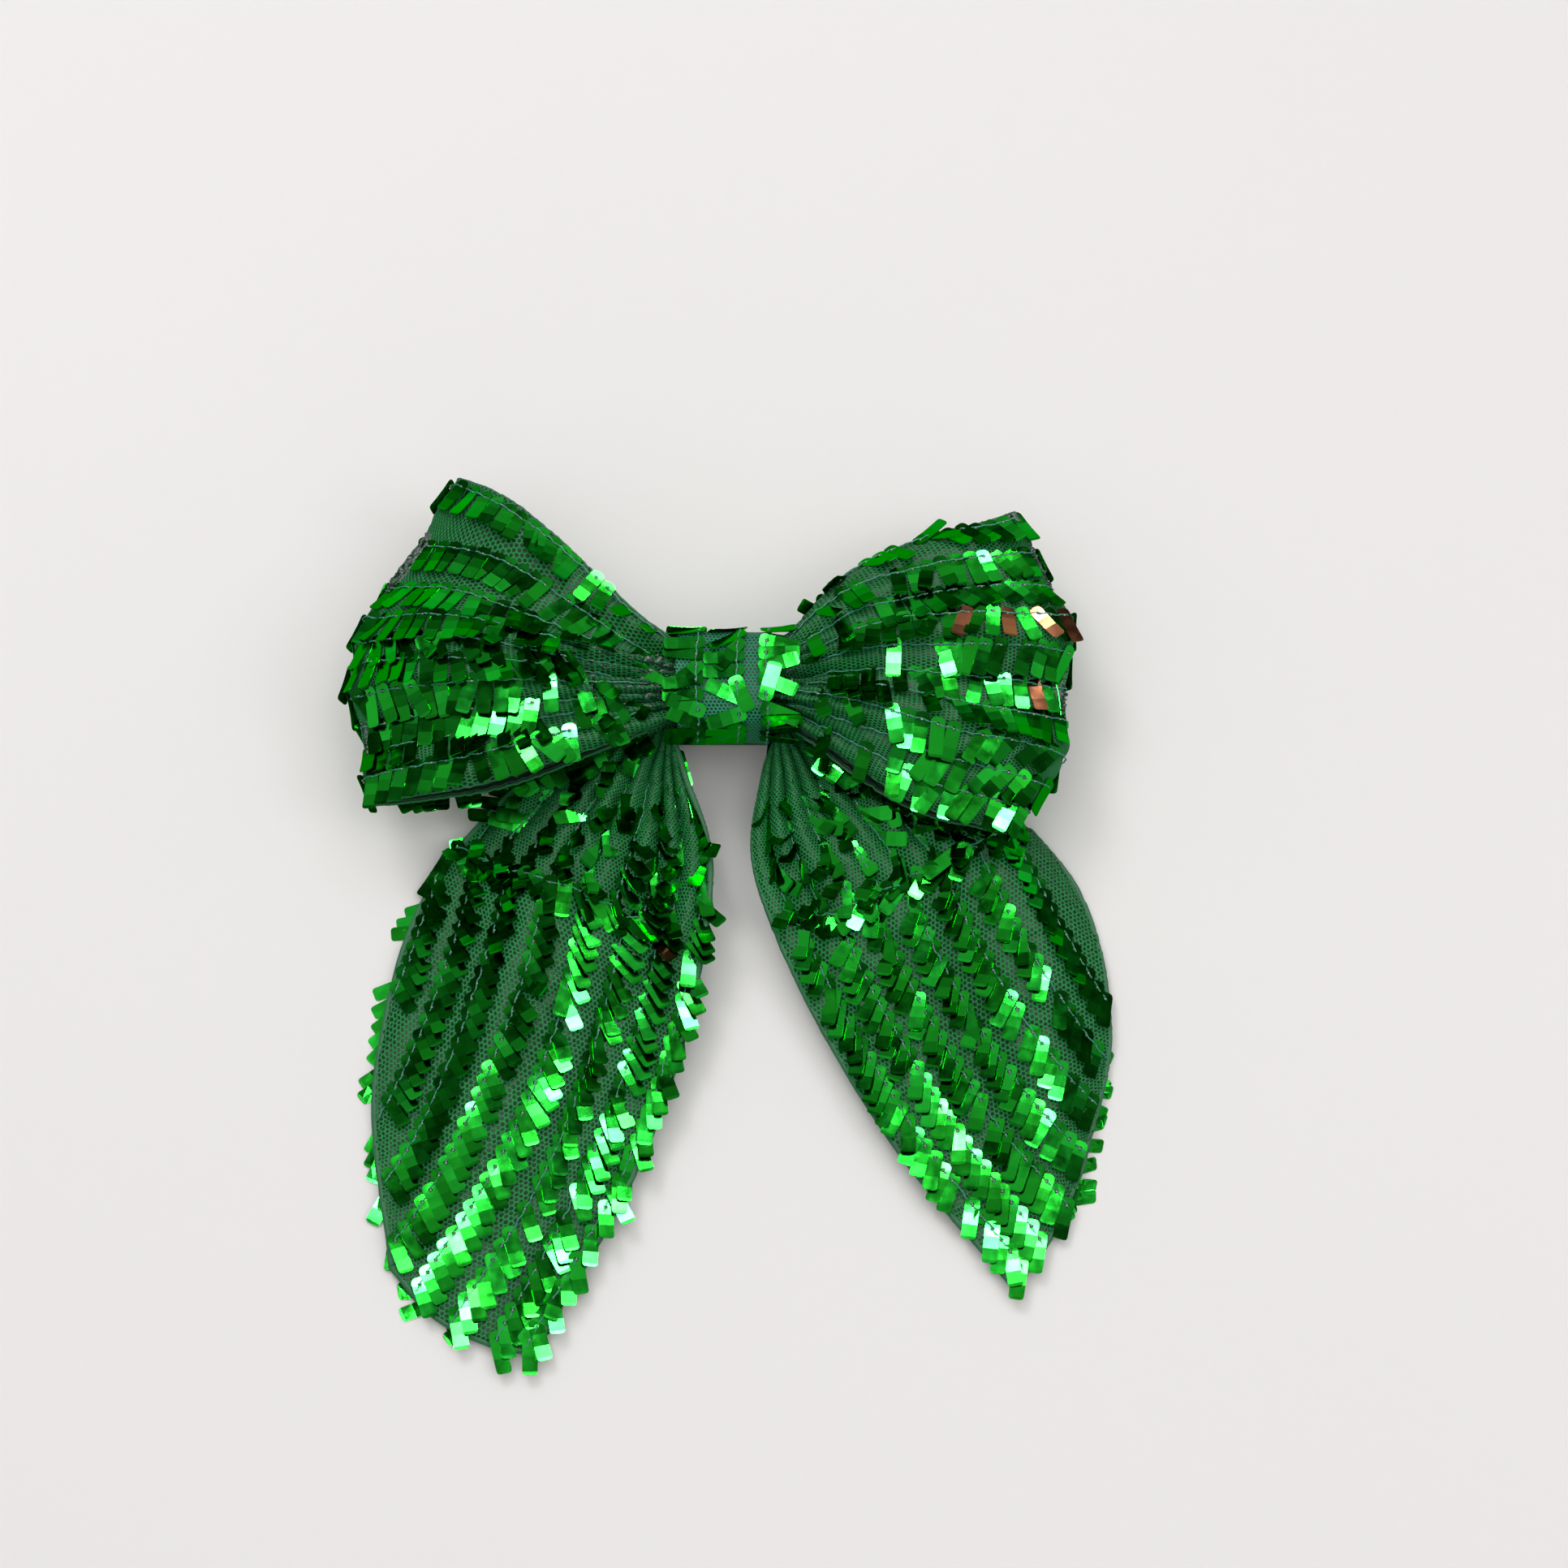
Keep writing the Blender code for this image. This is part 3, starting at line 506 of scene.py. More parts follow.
def sequin_template():
    """Makes one bar sequin: a curled strip with a round hole in its head, closed, lying along +Y."""
    half, neck = SEQUIN_WIDTH / 2, HOLE_INSET
    end = SEQUIN_LENGTH - HOLE_INSET
    shoulder, corner, tip_y = half - HEAD_RADIUS, half - TAIL_RADIUS, end - TAIL_RADIUS
    outer = arc(shoulder, HEAD_RADIUS - neck, HEAD_RADIUS, -90, 3)
    outer += [(half, 0.0), (half, neck), (0.0, neck), (-half, neck), (-half, 0.0)]
    outer += arc(-shoulder, HEAD_RADIUS - neck, HEAD_RADIUS, 180, 3)
    count = len(outer)
    around = [math.atan2(y, x) for x, y in outer]
    flat = outer + [(HOLE_RADIUS * math.cos(angle), HOLE_RADIUS * math.sin(angle)) for angle in around]
    faces = [(i, (i + 1) % count, count + (i + 1) % count, count + i) for i in range(count)]
    previous = tuple(outer.index((x, neck)) for x in (half, 0.0, -half))
    for y in (neck + (tip_y - neck) * 0.5, tip_y):
        row = tuple(len(flat) + k for k in range(3))
        flat += [(half, y), (0.0, y), (-half, y)]
        faces += [(previous[0], row[0], row[1], previous[1]), (previous[1], row[1], row[2], previous[2])]
        previous = row
    tip = arc(corner, tip_y, TAIL_RADIUS, 0, 2)[1:] + arc(-corner, tip_y, TAIL_RADIUS, 90, 2)[:-1]
    faces.append((previous[1], previous[0], *range(len(flat), len(flat) + len(tip)), previous[2]))
    flat += tip
    flat = np.array(flat)
    sag = CURL * ((flat[:, 1] - 0.5 * end) / (0.5 * SEQUIN_LENGTH)) ** 2
    low = np.column_stack([flat, sag])
    high = low + [0, 0, SEQUIN_THICKNESS]
    n = len(flat)
    edges = {}
    for face in faces:
        for i, j in zip(face, face[1:] + face[:1]):
            edges[(i, j)] = edges.get((i, j), 0) + 1
    rims = [e for e in edges if (e[1], e[0]) not in edges]
    solid = [tuple(i + n for i in f) for f in faces] + [f[::-1] for f in faces]
    solid += [(i, j, j + n, i + n) for i, j in rims]
    return np.vstack([low, high]), solid, np.vstack([flat, flat])


TEMPLATE = sequin_template()


def sequin_mesh(name, spots, material):
    """Makes one mesh of many sequins. Each spot is a point, a direction for its bar, a normal and a tint."""
    points, faces, uv = TEMPLATE
    where, heading, normal, tint = (np.array(x, float) for x in zip(*spots))
    heading = unit(heading - normal * np.sum(heading * normal, axis=-1, keepdims=True))
    across = np.cross(heading, normal)
    axes = np.stack([across, heading, normal], axis=-1)
    placed = where[:, None] + np.einsum("nij,mj->nmi", axes, points)
    low = placed[..., 2] < 0.5
    placed[..., 2][low] = 0.1 + 0.4 * np.exp((placed[..., 2][low] - 0.5) / 0.8)
    shift = np.arange(len(where))[:, None, None] * np.array([0.0, 13.0])
    return make_mesh(name, placed.reshape(-1, 3), repeated(faces, len(points), len(where)), material,
                     (uv[None] + shift).reshape(-1, 2), np.repeat(tint, len(points)), smooth=False)


def repeated(faces, size, count):
    """Lists a small shape's faces again for each of count copies, each with size points."""
    return [tuple(i + k * size for i in f) for k in range(count) for f in faces]


def turn(vectors, axis, angle):
    """Turns vectors about unit axes by angles, in radians."""
    c, s = np.cos(angle)[..., None], np.sin(angle)[..., None]
    dot = np.sum(vectors * axis, axis=-1, keepdims=True)
    return vectors * c + np.cross(axis, vectors) * s + axis * dot * (1 - c)


def drift(random, count, step, amount):
    """Makes a slowly changing random value for each of a row's pieces."""
    knots = np.arange(0, count + 2 * step, step)
    return np.interp(np.arange(count), knots, random.normal(0, amount, len(knots)))


def row_path(cloth, across, step=0.55):
    """Walks one stitched row over a cloth: across gives t for an array of a. Returns even steps."""
    a = np.linspace(0, 1, 900)
    t = across(a)
    kept = (t > 0.012) & (t < 0.988)
    if kept.sum() < 8:
        return None
    first, last = np.nonzero(kept)[0][[0, -1]]
    a, t = a[first:last + 1], t[first:last + 1]
    points = cloth.read(cloth.points, a, t)
    run = np.concatenate([[0], np.cumsum(np.linalg.norm(np.diff(points, axis=0), axis=1))])
    even = np.arange(0, run[-1], step)
    return np.interp(even, run, a), np.interp(even, run, t), even


def dress(cloth, rows, lean, random, outside, pitch, scatter=6.0, overlap=6.0, lift=0.42, copper=None,
          hidden=0.0, reach=24.0, missing=0.04):
    """Puts sequins and stitching on a cloth's rows.

    lean gives the bar's angle from the row, scatter how unevenly bars hang and overlap how they shingle,
    all in degrees. hidden is the share of sequins tucked out of sight beside the knot,
    and reach how far out that goes, in millimetres. missing is the share lost everywhere.
    """
    spots, stitches, knots = [], [], []
    for row in rows:
        walked = row_path(cloth, row)
        if walked is None:
            continue
        a, t, run = walked
        point, _, across, normal = cloth.frames(a, t)
        keep = outside(point)
        wobble = 0.14 * np.sin(2 * np.pi * run / pitch)
        path = point + normal * (lift + STITCH_LIFT) + across * wobble[:, None]
        path[:, 2] = np.maximum(path[:, 2], LOWEST_STITCH)
        pieces = np.split(np.arange(len(run)), np.nonzero(np.diff(keep.astype(int)))[0] + 1)
        stitches += [path[p] for p in pieces if len(p) > 4 and keep[p[0]]]
        jitter = random.normal(0, 0.18)
        places = np.arange(1.2 + jitter, run[-1] - 0.6, pitch)
        places = places + random.normal(0, 0.12, len(places))
        index = np.clip(np.searchsorted(run, places), 0, len(run) - 1)
        index = index[keep[index]]
        depth = random.uniform(10, reach)
        apart = np.maximum(np.hypot(point[index, 0], point[index, 1]) - 14, 0)
        tucked = missing + hidden * np.exp(-(apart / depth) ** 2)
        index = index[random.uniform(size=len(index)) > tucked]
        if not len(index):
            continue
        n = len(index)
        p, w = point[index], normal[index]
        clump = drift(random, n, 5, 1.5 * scatter)
        angle = np.radians(lean(a[index], t[index]) + clump + random.normal(0, 0.6 * scatter, n))
        beside_edge = (np.minimum(t[index], 1 - t[index]) < 0.07) | (np.abs(a[index] - 0.5) < 0.015)
        stray = random.uniform(size=n) < np.where(beside_edge, 0.12, 0.02)
        angle = np.where(stray, angle + random.normal(0, 0.9, n), angle)
        heading, slope = cloth.rest(a[index], t[index], angle, w)
        side = np.cross(heading, w)
        uneven = drift(random, n, 6, 0.4 * scatter) + random.normal(0, 0.08 * scatter, n)
        bar = turn(heading, side, slope + np.radians(np.abs(uneven) + np.where(stray, 9, 0)))
        roll = overlap + drift(random, n, 6, 0.4 * scatter) + random.normal(0, 0.12 * scatter, n)
        face = turn(np.cross(side, bar), bar, np.radians(roll))
        where = p + w * lift
        tint = random.uniform(0, 0.9, n)
        if copper is not None:
            tint = np.where(copper(p) > random.uniform(size=n), 1.0, tint)
        spots += list(zip(where, bar, face, tint))
        seats = where + face * KNOT_LIFT
        seats[:, 2] = np.maximum(seats[:, 2], LOWEST_KNOT)
        knots += list(zip(seats, w))
    return spots, stitches, knots


def knot_mesh(name, knots, material):
    """Makes the small thread knots that hold each sequin by its hole."""
    base = np.array([(1, 0, 0), (0.5, 0.87, 0), (-0.5, 0.87, 0), (-1, 0, 0), (-0.5, -0.87, 0),
                     (0.5, -0.87, 0), (0, 0, 0.9), (0, 0, -0.9)]) * [0.36, 0.30, 0.34]
    faces = [f for i in range(6) for f in ((i, (i + 1) % 6, 6), ((i + 1) % 6, i, 7))]
    placed = np.array([p for p, _ in knots])[:, None] + base
    return make_mesh(name, placed.reshape(-1, 3), repeated(faces, len(base), len(knots)), material)


# ---------------------------------------------------------------- materials

class Shader:
    """Builds a node material around one Principled shader."""

    def __init__(self, name, **sockets):
        self.material = bpy.data.materials.new(name)
        self.material.use_nodes = True
        self.tree = self.material.node_tree
        self.main = self.tree.nodes["Principled BSDF"]
        for key, value in sockets.items():
            self.main.inputs[key.replace("_", " ")].default_value = value

    def add(self, kind, inputs=None, **settings):
        node = self.tree.nodes.new("ShaderNode" + kind)
        for key, value in settings.items():
            setattr(node, key, value)
        for key, value in (inputs or {}).items():
            self.put(node.inputs[key], value)
        return node

    def put(self, socket, value):
        if isinstance(value, bpy.types.NodeSocket):
            self.tree.links.new(value, socket)
        else:
            socket.default_value = value

    def math(self, operation, a, b=0.0, c=0.0):
        return self.add("Math", {0: a, 1: b, 2: c}, operation=operation).outputs[0]

    def ramp(self, factor, stops):
        node = self.add("ValToRGB", {0: factor})
        ramp = node.color_ramp
        while len(ramp.elements) < len(stops):
            ramp.elements.new(0.5)
        for element, (place, colour) in zip(ramp.elements, stops):
            element.position = place
            element.color = (*colour, 1.0)
        return node.outputs[0]

    def blend(self, factor, a, b):
        node = self.add("Mix", data_type="RGBA")
        for socket, value in ((0, factor), (6, a), (7, b)):
            self.put(node.inputs[socket], value if not isinstance(value, tuple) else (*value, 1.0))
        return node.outputs[2]

    def noise(self, vector, scale, detail=3.0):
        node = self.add("TexNoise", {"Scale": scale, "Detail": detail})
        if vector is not None:
            self.put(node.inputs["Vector"], vector)
        return node.outputs[0]

    def place(self):
        return self.add("TexCoord").outputs["Object"]

    def flat(self):
        return self.add("UVMap", uv_map="UVMap").outputs[0]

    def scaled(self, vector, scale):
        return self.add("Mapping", {"Vector": vector, "Scale": scale}).outputs[0]

    def bump(self, height, strength, distance):
        node = self.add("Bump", {"Strength": strength, "Distance": distance, "Height": height})
        self.put(self.main.inputs["Normal"], node.outputs[0])

    def colour(self, value):
        self.put(self.main.inputs["Base Color"], value)

    def rough(self, value, low, high, first=0.0, last=1.0):
        sockets = {"Value": value, "From Min": first, "From Max": last, "To Min": low, "To Max": high}
        self.put(self.main.inputs["Roughness"], self.add("MapRange", sockets).outputs[0])

    def mixed(self, first, second, dark, light):
        self.colour(self.blend(self.math("MULTIPLY", self.math("ADD", first, second), 0.5), dark, light))


def net_material(name, strand, backing, cell=0.95):
    """Hexagonal knitted net over a darker cloth, in flat cloth coordinates."""
    s = Shader(name, Roughness=0.75, Specular_IOR_Level=0.12)
    flat = s.flat()
    waves = None
    for degrees in (0, 120, 240):
        angle = math.radians(degrees)
        rate = 2 * math.pi / (cell * 0.866)
        ray = (rate * math.cos(angle), rate * math.sin(angle), 0.0)
        dot = s.add("VectorMath", {0: flat, 1: ray}, operation="DOT_PRODUCT").outputs["Value"]
        wave = s.math("COSINE", dot)
        waves = wave if waves is None else s.math("ADD", waves, wave)
    net = s.add("MapRange", {"Value": waves, "From Min": 0.25, "From Max": -0.85}).outputs[0]
    patchy = s.noise(s.place(), 60.0, 4.0)
    lit = s.blend(patchy, tuple(0.75 * c for c in strand), tuple(1.25 * c for c in strand))
    under = s.blend(patchy, tuple(0.7 * c for c in backing), tuple(1.2 * c for c in backing))
    s.colour(s.blend(net, under, lit))
    s.rough(net, 0.42, 0.68)
    s.bump(s.math("ADD", net, s.math("MULTIPLY", patchy, 0.4)), 0.55, 0.00018)
    return s.material


def woven_material(name, dark, light, rate, rough=0.5, sheen=0.05, strength=0.4):
    """Plain woven cloth: two crossing sets of threads, in flat cloth coordinates."""
    s = Shader(name, Roughness=rough, Sheen_Weight=sheen)
    flat = s.flat()
    xyz = s.add("SeparateXYZ", {0: flat})
    warp = s.math("SINE", s.math("MULTIPLY", xyz.outputs[0], rate))
    weft = s.math("SINE", s.math("MULTIPLY", xyz.outputs[1], rate * 1.15))
    weave = s.math("MULTIPLY_ADD", s.math("MULTIPLY", warp, weft), 0.5, 0.5)
    cloud = s.noise(s.place(), 90.0)
    s.mixed(weave, cloud, dark, light)
    s.rough(cloud, rough - 0.1, rough + 0.1)
    s.bump(weave, strength, 0.0001)
    return s.material


def foil_material():
    """Metallic foil on plastic, with drawn lines along each bar. A tint near 1 makes a bar copper."""
    s = Shader("sequin_foil", Metallic=1.0, Anisotropic=0.3, Specular_Tint=(0.12, 0.62, 0.10, 1.0))
    tint = s.add("Attribute", attribute_name="tint").outputs["Fac"]
    base = s.ramp(tint, [(0.0, (0.009, 0.22, 0.010)), (0.45, (0.012, 0.34, 0.020)),
                         (0.9, (0.017, 0.46, 0.036)), (0.96, (0.38, 0.13, 0.07))])
    flat = s.flat()
    lines = s.noise(s.scaled(flat, (5.0, 0.12, 1.0)), 1.6, 5.0)
    mottled = s.noise(s.scaled(flat, (0.35, 0.25, 1.0)), 1.0, 2.0)
    s.colour(s.blend(s.math("MULTIPLY", lines, 0.35), base, (0.0, 0.10, 0.01)))
    s.rough(mottled, 0.12, 0.20, 0.3, 0.7)
    s.bump(lines, 0.05, 0.00004)
    return s.material


def thread_material(name, dark, light, rate=5.0, rough=0.55):
    """Twisted thread: slanted plies along its length."""
    s = Shader(name, Roughness=rough, Sheen_Weight=0.08)
    xyz = s.add("SeparateXYZ", {0: s.flat()})
    slant = s.math("MULTIPLY_ADD", xyz.outputs[1], 3.2, s.math("MULTIPLY", xyz.outputs[0], rate))
    ply = s.math("MULTIPLY_ADD", s.math("SINE", slant), 0.5, 0.5)
    fuzz = s.noise(s.place(), 900.0)
    s.mixed(ply, fuzz, dark, light)
    s.rough(fuzz, rough - 0.1, rough + 0.15)
    s.bump(ply, 0.5, 0.00008)
    return s.material


def metal_material(name, colour, rough, brushed):
    """Plated or plain steel with fine drawn lines and soft stains."""
    s = Shader(name, Metallic=1.0, Roughness=rough)
    place = s.place()
    lines = s.noise(s.scaled(place, (25.0, brushed, brushed)), 60.0, 5.0)
    stains = s.noise(place, 140.0, 4.0)
    s.colour(s.blend(stains, tuple(0.72 * c for c in colour), colour))
    s.rough(s.math("ADD", lines, stains), rough - 0.08, rough + 0.14, 0.6, 1.4)
    s.bump(lines, 0.12, 0.00005)
    return s.material


def felt_material():
    """Pressed felt: matted fibres of uneven green."""
    s = Shader("felt_fibres", Roughness=0.95, Sheen_Weight=0.5)
    place = s.place()
    fibres = s.noise(s.scaled(place, (1.0, 1.0, 3.0)), 1400.0, 6.0)
    tufts = s.noise(place, 260.0, 3.0)
    s.mixed(fibres, tufts, (0.004, 0.035, 0.014), (0.020, 0.120, 0.050))
    s.bump(s.math("ADD", fibres, tufts), 0.7, 0.0003)
    return s.material


def floor_material():
    s = Shader("pale_floor", Roughness=0.85, Specular_IOR_Level=0.1)
    cloud = s.noise(s.place(), 3.0, 2.0)
    s.colour(s.blend(cloud, (0.82, 0.805, 0.795), (0.85, 0.835, 0.825)))
    return s.material


MATERIALS = {
    "net": net_material("sequin_net", (0.018, 0.225, 0.055), (0.0008, 0.040, 0.012)),
    "band": net_material("band_net", (0.022, 0.270, 0.130), (0.0008, 0.050, 0.024)),
    "lining": woven_material("satin_lining", (0.003, 0.030, 0.012), (0.008, 0.075, 0.030), 14.0, 0.4),
    "hem": woven_material("rolled_hem", (0.002, 0.070, 0.020), (0.010, 0.190, 0.055), 9.0, 0.75, 0.0),
    "ribbon": woven_material("grosgrain_ribs", (0.008, 0.075, 0.030), (0.018, 0.150, 0.060), 4.5, 0.6),
    "foil": foil_material(),
    "thread": thread_material("stitch_thread", (0.003, 0.120, 0.075), (0.008, 0.280, 0.185)),
    "nub": thread_material("knot_thread", (0.30, 0.24, 0.20), (0.80, 0.64, 0.58), 9.0, 0.3),
    "nickel": metal_material("nickel_plate", (0.66, 0.65, 0.62), 0.26, 900.0),
    "steel": metal_material("spring_steel", (0.50, 0.50, 0.51), 0.34, 700.0),
    "felt": felt_material(),
}

FINISHES = {
    "nickel": ("barrette_base", "barrette_arm", "hinge_pin", "leaf_rivet", "catch_rivet"),
    "steel": ("tension_leaf", "catch_bracket", "catch_ear_front", "catch_ear_rear"),
}


# ---------------------------------------------------------------- pieces

def outside_band(point):
    """Says which points lie clear of the centre band."""
    return (np.abs(point[..., 0]) > BAND_CLEARANCE[0]) | (np.abs(point[..., 1]) > BAND_CLEARANCE[1])


def clear_of_clip(point):
    """Says which points on a tail's back lie clear of the hair clip as the tail swings."""
    return point[..., 1] < CLIP_CLEAR_Y


def trimmings(name, spots, stitches, knots):
    """Makes the stitching, the sequins and their knots for one cloth."""
    return [tube_mesh(f"{name}_stitching", stitches, MATERIALS["thread"], STITCH_RADIUS, 5, 0.6),
            sequin_mesh(f"{name}_sequins", spots, MATERIALS["foil"]),
            knot_mesh(f"{name}_knots", knots, MATERIALS["nub"])]


def build_loop(side, seed):
    """Makes a loop's sequin cloth, lining, hems, stitching and sequins. They are fixed to the knot."""
    cloth, flipped = loop_cloth(side, seed)
    strip = sheet_mesh(f"{side}_loop_cloth", cloth, MATERIALS["net"])
    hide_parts(f"{side}_loop_sequin_cloth")
    lining = sheet_mesh(f"{side}_loop_satin", cloth, MATERIALS["lining"], *LINING_DEPTHS)
    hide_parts(f"{side}_loop_lining")
    random = np.random.default_rng(seed)
    places = (LOOP_FIRST_ROW + LOOP_ROW_SPACING * np.arange(LOOP_ROWS)) / LOOP_CLOTH_WIDTH
    if not flipped:
        places = 1 - places
    rows = [lambda a, k=k: np.full_like(a, k) + 0.004 * np.sin(23 * a + 40 * k) for k in places]
    down = -90.0 if not flipped else 90.0

    def copper(point):
        if side == "left":
            return np.full(len(point), 0.002)
        away = (point[:, :2] - COPPER_PATCH) / COPPER_PATCH_RADIUS
        return 0.006 + 0.75 * np.exp(-(away ** 2).sum(axis=1)) * (point[:, 2] > 18)

    spots, stitches, knots = dress(cloth, rows, steady(down), random, outside_band, LOOP_PITCH, scatter=11.0,
                                   overlap=5.0, copper=copper, hidden=0.9, reach=LOOP_BARE_REACH[side])
    along = np.linspace(0.02, 0.98, 260)
    edges = [cloth.read(cloth.points, along, np.full(260, t))
             - cloth.read(cloth.normals, along, np.full(260, t)) * LOOP_HEM_INSET for t in (0.0, 1.0)]
    pieces = [strip, lining,
              tube_mesh(f"{side}_loop_hems", edges, MATERIALS["hem"], HEM_RADIUS["loop"], 8),
              *trimmings(f"{side}_loop", spots, stitches, knots)]
    slots = ("sequin_cloth", "lining", "sequin_cloth", "thread", "sequin_cloth", "thread")
    for piece, slot in zip(pieces, slots):
        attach(piece, "bow")


def lone_copper(point):
    """Gives the chance of a copper sequin at one spot of the left tail."""
    return np.exp(-((point[:, :2] - COPPER_SPOT) ** 2).sum(axis=1) / 8.0)


def steady(degrees):
    """Gives a lean that is the same everywhere."""
    return lambda a, t: np.full_like(a, degrees)


def hang_towards(cloth, degrees):
    """Gives a lean that makes every bar point down the bow, turned the given angle towards +X."""
    down = np.array([np.sin(np.radians(degrees)), -np.cos(np.radians(degrees)), 0.0])

    def lean(a, t):
        _, along, across, _ = cloth.frames(a, t)
        return np.degrees(np.arctan2(across @ down, along @ down))
    return lean


def build_tail(side, seed):
    """Makes a tail's two layers with hems, stitching and sequins."""
    cloth, cut_width = tail_cloth(side, seed)
    up = np.sign(np.median(cloth.normals[..., 2]))
    stations = np.linspace(0, 1, len(cut_width))
    random = np.random.default_rng(seed)
    starts = np.arange(FIRST_TAIL_ROW[side], TAIL_CLOTH_WIDTH, TAIL_ROW_SPACING[side])
    pieces = []
    for layer, outward in (("front", up), ("back", -up)):
        shell = Cloth(cloth.points + cloth.normals * outward * (TAIL_LAYER_GAP + CLOTH_THICKNESS),
                      cloth.flat_u, cloth.flat_v)
        shell.normals = shell.normals * outward
        shell.smooth_normals = shell.smooth_normals * outward
        piece = sheet_mesh(f"{side}_tail_{layer}_cloth", shell, MATERIALS["net"])
        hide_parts(f"{side}_tail_{layer}")
        rows = [lambda a, b=b: b / np.interp(a, stations, cut_width[:, 0]) + 0.0035 * np.sin(19 * a + 9 * b)
                for b in starts]
        lean, outside, copper = hang_towards(shell, TAIL_HANG[side]), outside_band, None
        if layer == "back":
            rows = [lambda a, r=r: 1 - r(a) for r in rows[:-2]]
            lean, outside = steady(TAIL_BACK_LEAN), clear_of_clip
        elif side == "left":
            copper = lone_copper
        spots, stitches, knots = dress(shell, rows, lean, random, outside, TAIL_PITCH, copper=copper,
                                       overlap=TAIL_OVERLAP * up, **TAIL_WEAR[layer])
        parts = [piece, *trimmings(f"{side}_tail_{layer}", spots, stitches, knots)]
        pieces += parts
    a = np.concatenate([np.linspace(0.05, 1, 200), np.ones(60), np.linspace(1, 0.05, 200)])
    t = np.concatenate([np.zeros(200), np.linspace(0, 1, 60), np.ones(200)])
    edge = cloth.read(cloth.points, a, t)
    hem = tube_mesh(f"{side}_tail_hem", [edge], MATERIALS["hem"], HEM_RADIUS["tail"], 8)
    for piece in pieces + [hem]:
        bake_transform(piece)


def squarish(angle, power):
    """Goes round a rounded square from -1 to 1: a lower power gives squarer corners."""
    c, s = np.cos(angle), np.sin(angle)
    return np.sign(c) * np.abs(c) ** power, np.sign(s) * np.abs(s) ** power


def build_band(seed):
    """Makes the wrapped centre band with two stitched columns on its face and one at its right edge."""
    low, high = (np.array(v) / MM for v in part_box("centre_band"))
    around, across = 120, 36
    half_width = high[0] - 0.2
    angle = np.linspace(0, 2 * np.pi, around, endpoint=False)
    x = np.linspace(-1, 1, across)
    centre_z = (low[2] + high[2]) / 2
    half_y, half_z = high[1] - 0.2, (high[2] - low[2]) / 2 - 0.2
    side, up = squarish(angle, BAND_SQUARENESS)
    y, z = half_y * side, half_z * up
    grid = np.empty((around, across, 3))
    grid[..., 0] = x[None] * half_width + 0.35 * np.sin(3 * angle)[:, None]
    squeeze = 1 - 0.025 * np.cos(np.pi * x / 2) + 0.012 * np.sin(5 * angle[:, None] + 3 * x[None])
    grid[..., 1] = y[:, None] * squeeze
    grid[..., 2] = centre_z + z[:, None] * squeeze
    ring = np.concatenate([grid, grid[:1]])
    run = np.concatenate([[0], np.cumsum(np.linalg.norm(np.diff(ring[:, across // 2], axis=0), axis=1))])
    flat_u = np.broadcast_to(run[:, None], ring.shape[:2]).copy()
    flat_v = np.broadcast_to((x * half_width)[None], ring.shape[:2]).copy()
    ring[..., 2] += 0.12 * np.sin(flat_u * 1.1 + flat_v * 0.4)
    cloth = Cloth(ring, flat_u, flat_v, (1, 1))
    top = np.argmax(ring[:, across // 2, 2])
    if cloth.normals[top, across // 2, 2] < 0:
        cloth = Cloth(ring[:, ::-1], flat_u, flat_v[:, ::-1], (1, 1))
    band = sheet_mesh("centre_band_cloth", cloth, MATERIALS["band"], 0.0, -BAND_THICKNESS)
    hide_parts("centre_band")
    random = np.random.default_rng(seed)
    flipped = cloth.points[0, 0, 0] > cloth.points[0, -1, 0]
    spots, stitches, knots = [], [], []
    for place, heading in (*BAND_COLUMNS, (high[0] - BAND_EDGE_COLUMN, 1)):
        t = (place / half_width + 1) / 2
        t = 1 - t if flipped else t
        lean = 90.0 * heading * (-1 if flipped else 1)
        s, c, k = dress(cloth, [lambda a, t=t: np.full_like(a, t)],
                        lambda a, t, l=lean: np.full_like(a, l) + random.normal(0, 19, len(a)), random,
                        lambda p: p[..., 2] > BAND_FACE_Z, BAND_PITCH, scatter=5.0)
        spots, stitches, knots = spots + s, stitches + c, knots + k
    pieces = [band, *trimmings("centre_band", spots, stitches, knots)]
    for piece, slot in zip(pieces, ("band_cloth", "thread", "sequin_cloth", "thread")):
        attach(piece, "bow")


def build_gathering_thread():
    """Winds the gathering thread round the pinched cloth inside the band."""
    low, high = (np.array(v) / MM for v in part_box("gathering_thread"))
    turns = 11
    angle = np.linspace(0, 2 * np.pi * turns, 34 * turns)
    middle, half = (low + high) / 2, (high - low) / 2
    side, up = squarish(angle, THREAD_SQUARENESS)
    path = np.stack([low[0] + 0.4 + (high[0] - low[0] - 0.8) * angle / angle[-1],
                     middle[1] + (half[1] - 0.4) * side, middle[2] + (half[2] - 0.4) * up], 1)
    thread = tube_mesh("gathering_thread_turns", [path], MATERIALS["thread"], 0.28, 6)
    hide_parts("gathering_thread")
    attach(thread, "bow")


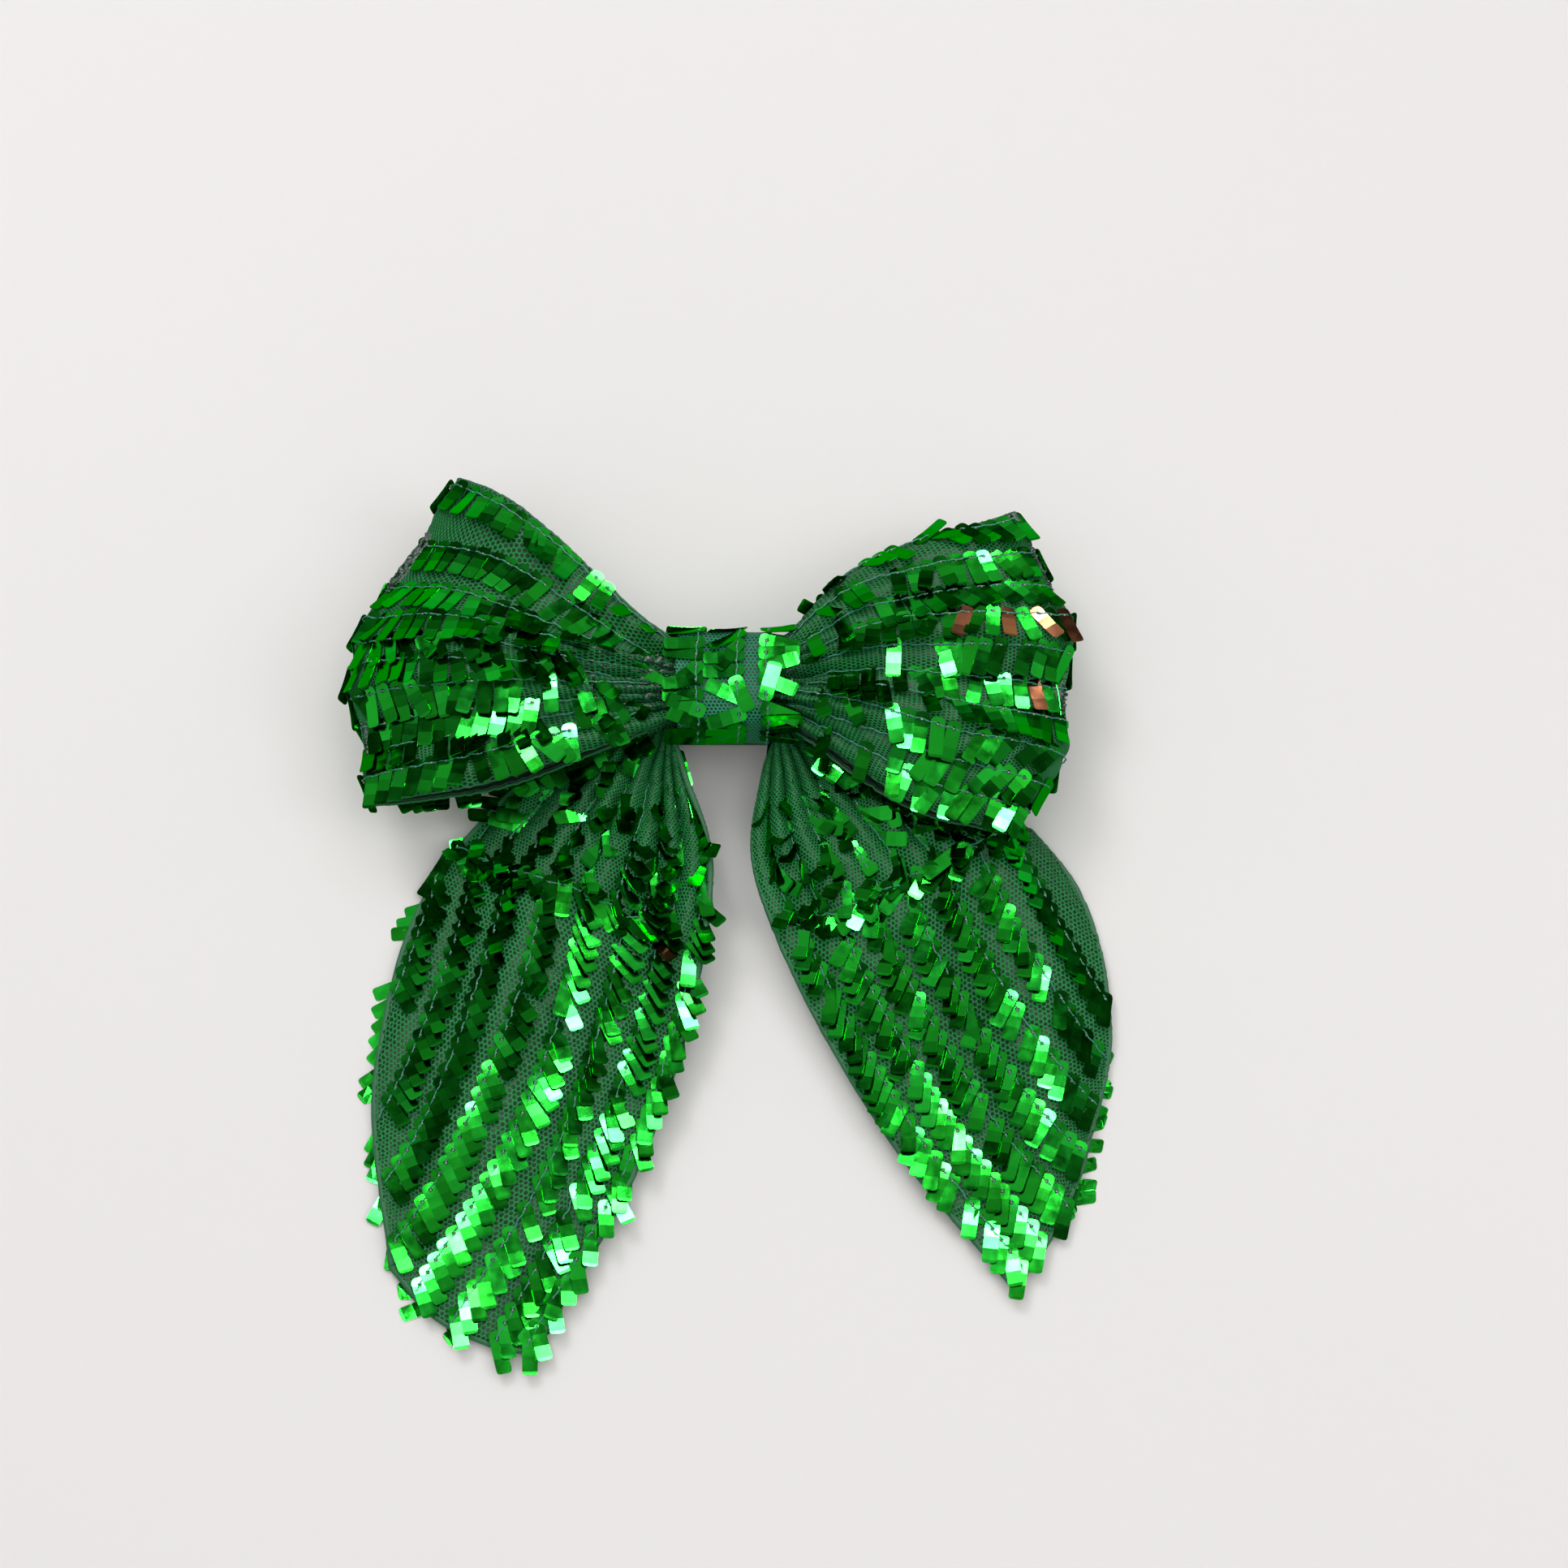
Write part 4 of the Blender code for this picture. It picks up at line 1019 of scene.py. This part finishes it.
def soft_slab(name, node, material, seed, ribs=0.0):
    """Makes a thin soft pad with rounded edges in the space of its CAD node."""
    low, high = (np.array(v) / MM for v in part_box(node))
    rows, columns = 90, 40
    s, t = np.meshgrid(np.linspace(-1, 1, rows), np.linspace(-1, 1, columns), indexing="ij")
    half = (high - low) / 2
    middle = (high + low) / 2
    corner = min(half[0], half[1]) * 0.35
    x, y = s * half[0], t * half[1]
    over = np.maximum(np.abs(y) - (half[1] - corner), 0)
    x = np.sign(x) * np.minimum(np.abs(x), half[0] - corner + np.sqrt(np.maximum(corner ** 2 - over ** 2, 0)))
    edge = np.clip(np.minimum((1 - np.abs(s)) * half[0], (1 - np.abs(t)) * half[1]) / 0.5, 0, 1)
    thick = half[2] * (0.35 + 0.65 * np.sqrt(1 - (1 - edge) ** 2))
    thick = thick * (1 - ribs * 0.25 * (1 + np.sin(x * 2 * np.pi / 0.9)))
    thick = thick * (0.95 + 0.05 * np.sin(3.1 * x + seed) * np.sin(2.7 * y))
    cloth = Cloth(np.dstack([x + middle[0], y + middle[1], np.full_like(x, middle[2])]), x, y)
    cloth.normals = np.dstack([np.zeros_like(x), np.zeros_like(x), thick])
    piece = sheet_mesh(name, cloth, material, 1.0, -1.0)
    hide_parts(node)
    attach(piece, "bow")


def finish_metal():
    """Gives the clip's CAD nodes their plated or plain steel finish."""
    for finish, nodes in FINISHES.items():
        for node in nodes:
            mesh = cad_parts[node].data
            mesh.materials.clear()
            mesh.materials.append(MATERIALS[finish])


# ---------------------------------------------------------------- light and camera

def build_floor():
    """Lays a plain round floor."""
    angle = np.linspace(0, 2 * np.pi, 96, endpoint=False)
    rim = np.column_stack([np.cos(angle), np.sin(angle), 0 * angle]) * FLOOR_RADIUS
    floor = make_mesh("studio_floor", rim / MM - [0, 0, 0.02], [tuple(range(len(rim)))], floor_material())


def build_room():
    """Makes a plain pale backdrop, and a patchy room of light and dark for the foil to mirror."""
    world = bpy.data.worlds.new("studio_room")
    bpy.context.scene.world = world
    world.use_nodes = True
    tree = world.node_tree
    tree.nodes.clear()
    kinds = ("TexCoord", "TexNoise", "ValToRGB", "Background", "Background", "LightPath", "MixShader",
             "OutputWorld")
    place, noise, ramp, room, plain, rays, mix, out = (tree.nodes.new("ShaderNode" + kind) for kind in kinds)
    noise.inputs["Scale"].default_value = 2.6
    noise.inputs["Detail"].default_value = 1.5
    for element, (where, level) in zip(ramp.color_ramp.elements, ((0.44, 0.03), (0.63, 1.05))):
        element.position = where
        element.color = (level, level * 0.985, level * 0.965, 1)
    plain.inputs[0].default_value = (0.93, 0.92, 0.91, 1)
    for output, socket in ((place.outputs["Generated"], noise.inputs["Vector"]),
                           (noise.outputs[0], ramp.inputs[0]), (ramp.outputs[0], room.inputs[0]),
                           (rays.outputs["Is Camera Ray"], mix.inputs[0]), (room.outputs[0], mix.inputs[1]),
                           (plain.outputs[0], mix.inputs[2]), (mix.outputs[0], out.inputs[0])):
        tree.links.new(output, socket)


def build_lamps():
    for name, place, width, power, diffuse, glossy in LAMPS:
        light = bpy.data.lights.new(name, "AREA")
        light.size = width
        light.energy = power
        lamp = bpy.data.objects.new(name, light)
        lamp.location = place
        lamp.rotation_euler = (Vector(LAMP_TARGET) - Vector(place)).to_track_quat("-Z", "Y").to_euler()
        lamp.visible_diffuse = diffuse
        lamp.visible_glossy = glossy
        bpy.context.scene.collection.objects.link(lamp)


def build_camera():
    camera = bpy.data.cameras.new("camera")
    camera.lens = LENS
    camera.sensor_width = SENSOR
    camera.clip_start = 0.01
    holder = bpy.data.objects.new("camera", camera)
    away = Vector((0, -math.cos(CAMERA_ELEVATION), math.sin(CAMERA_ELEVATION)))
    holder.location = (Vector(CAMERA_TARGET) + away * CAMERA_DISTANCE) * MM
    holder.rotation_euler = (-away).to_track_quat("-Z", "Y").to_euler()
    bpy.context.scene.collection.objects.link(holder)
    bpy.context.scene.camera = holder
    bpy.context.scene.view_settings.view_transform = "Standard"


build_floor()
build_room()
build_lamps()
build_camera()
build_loop("left", SEED)
build_loop("right", SEED + 10)
build_tail("left", SEED + 20)
build_tail("right", SEED + 30)
build_band(SEED + 40)
build_gathering_thread()
soft_slab("felt_backing", "felt_pad", MATERIALS["felt"], 1.0)
soft_slab("grosgrain_ribbon", "clip_ribbon", MATERIALS["ribbon"], 2.0, ribs=1.0)
finish_metal()
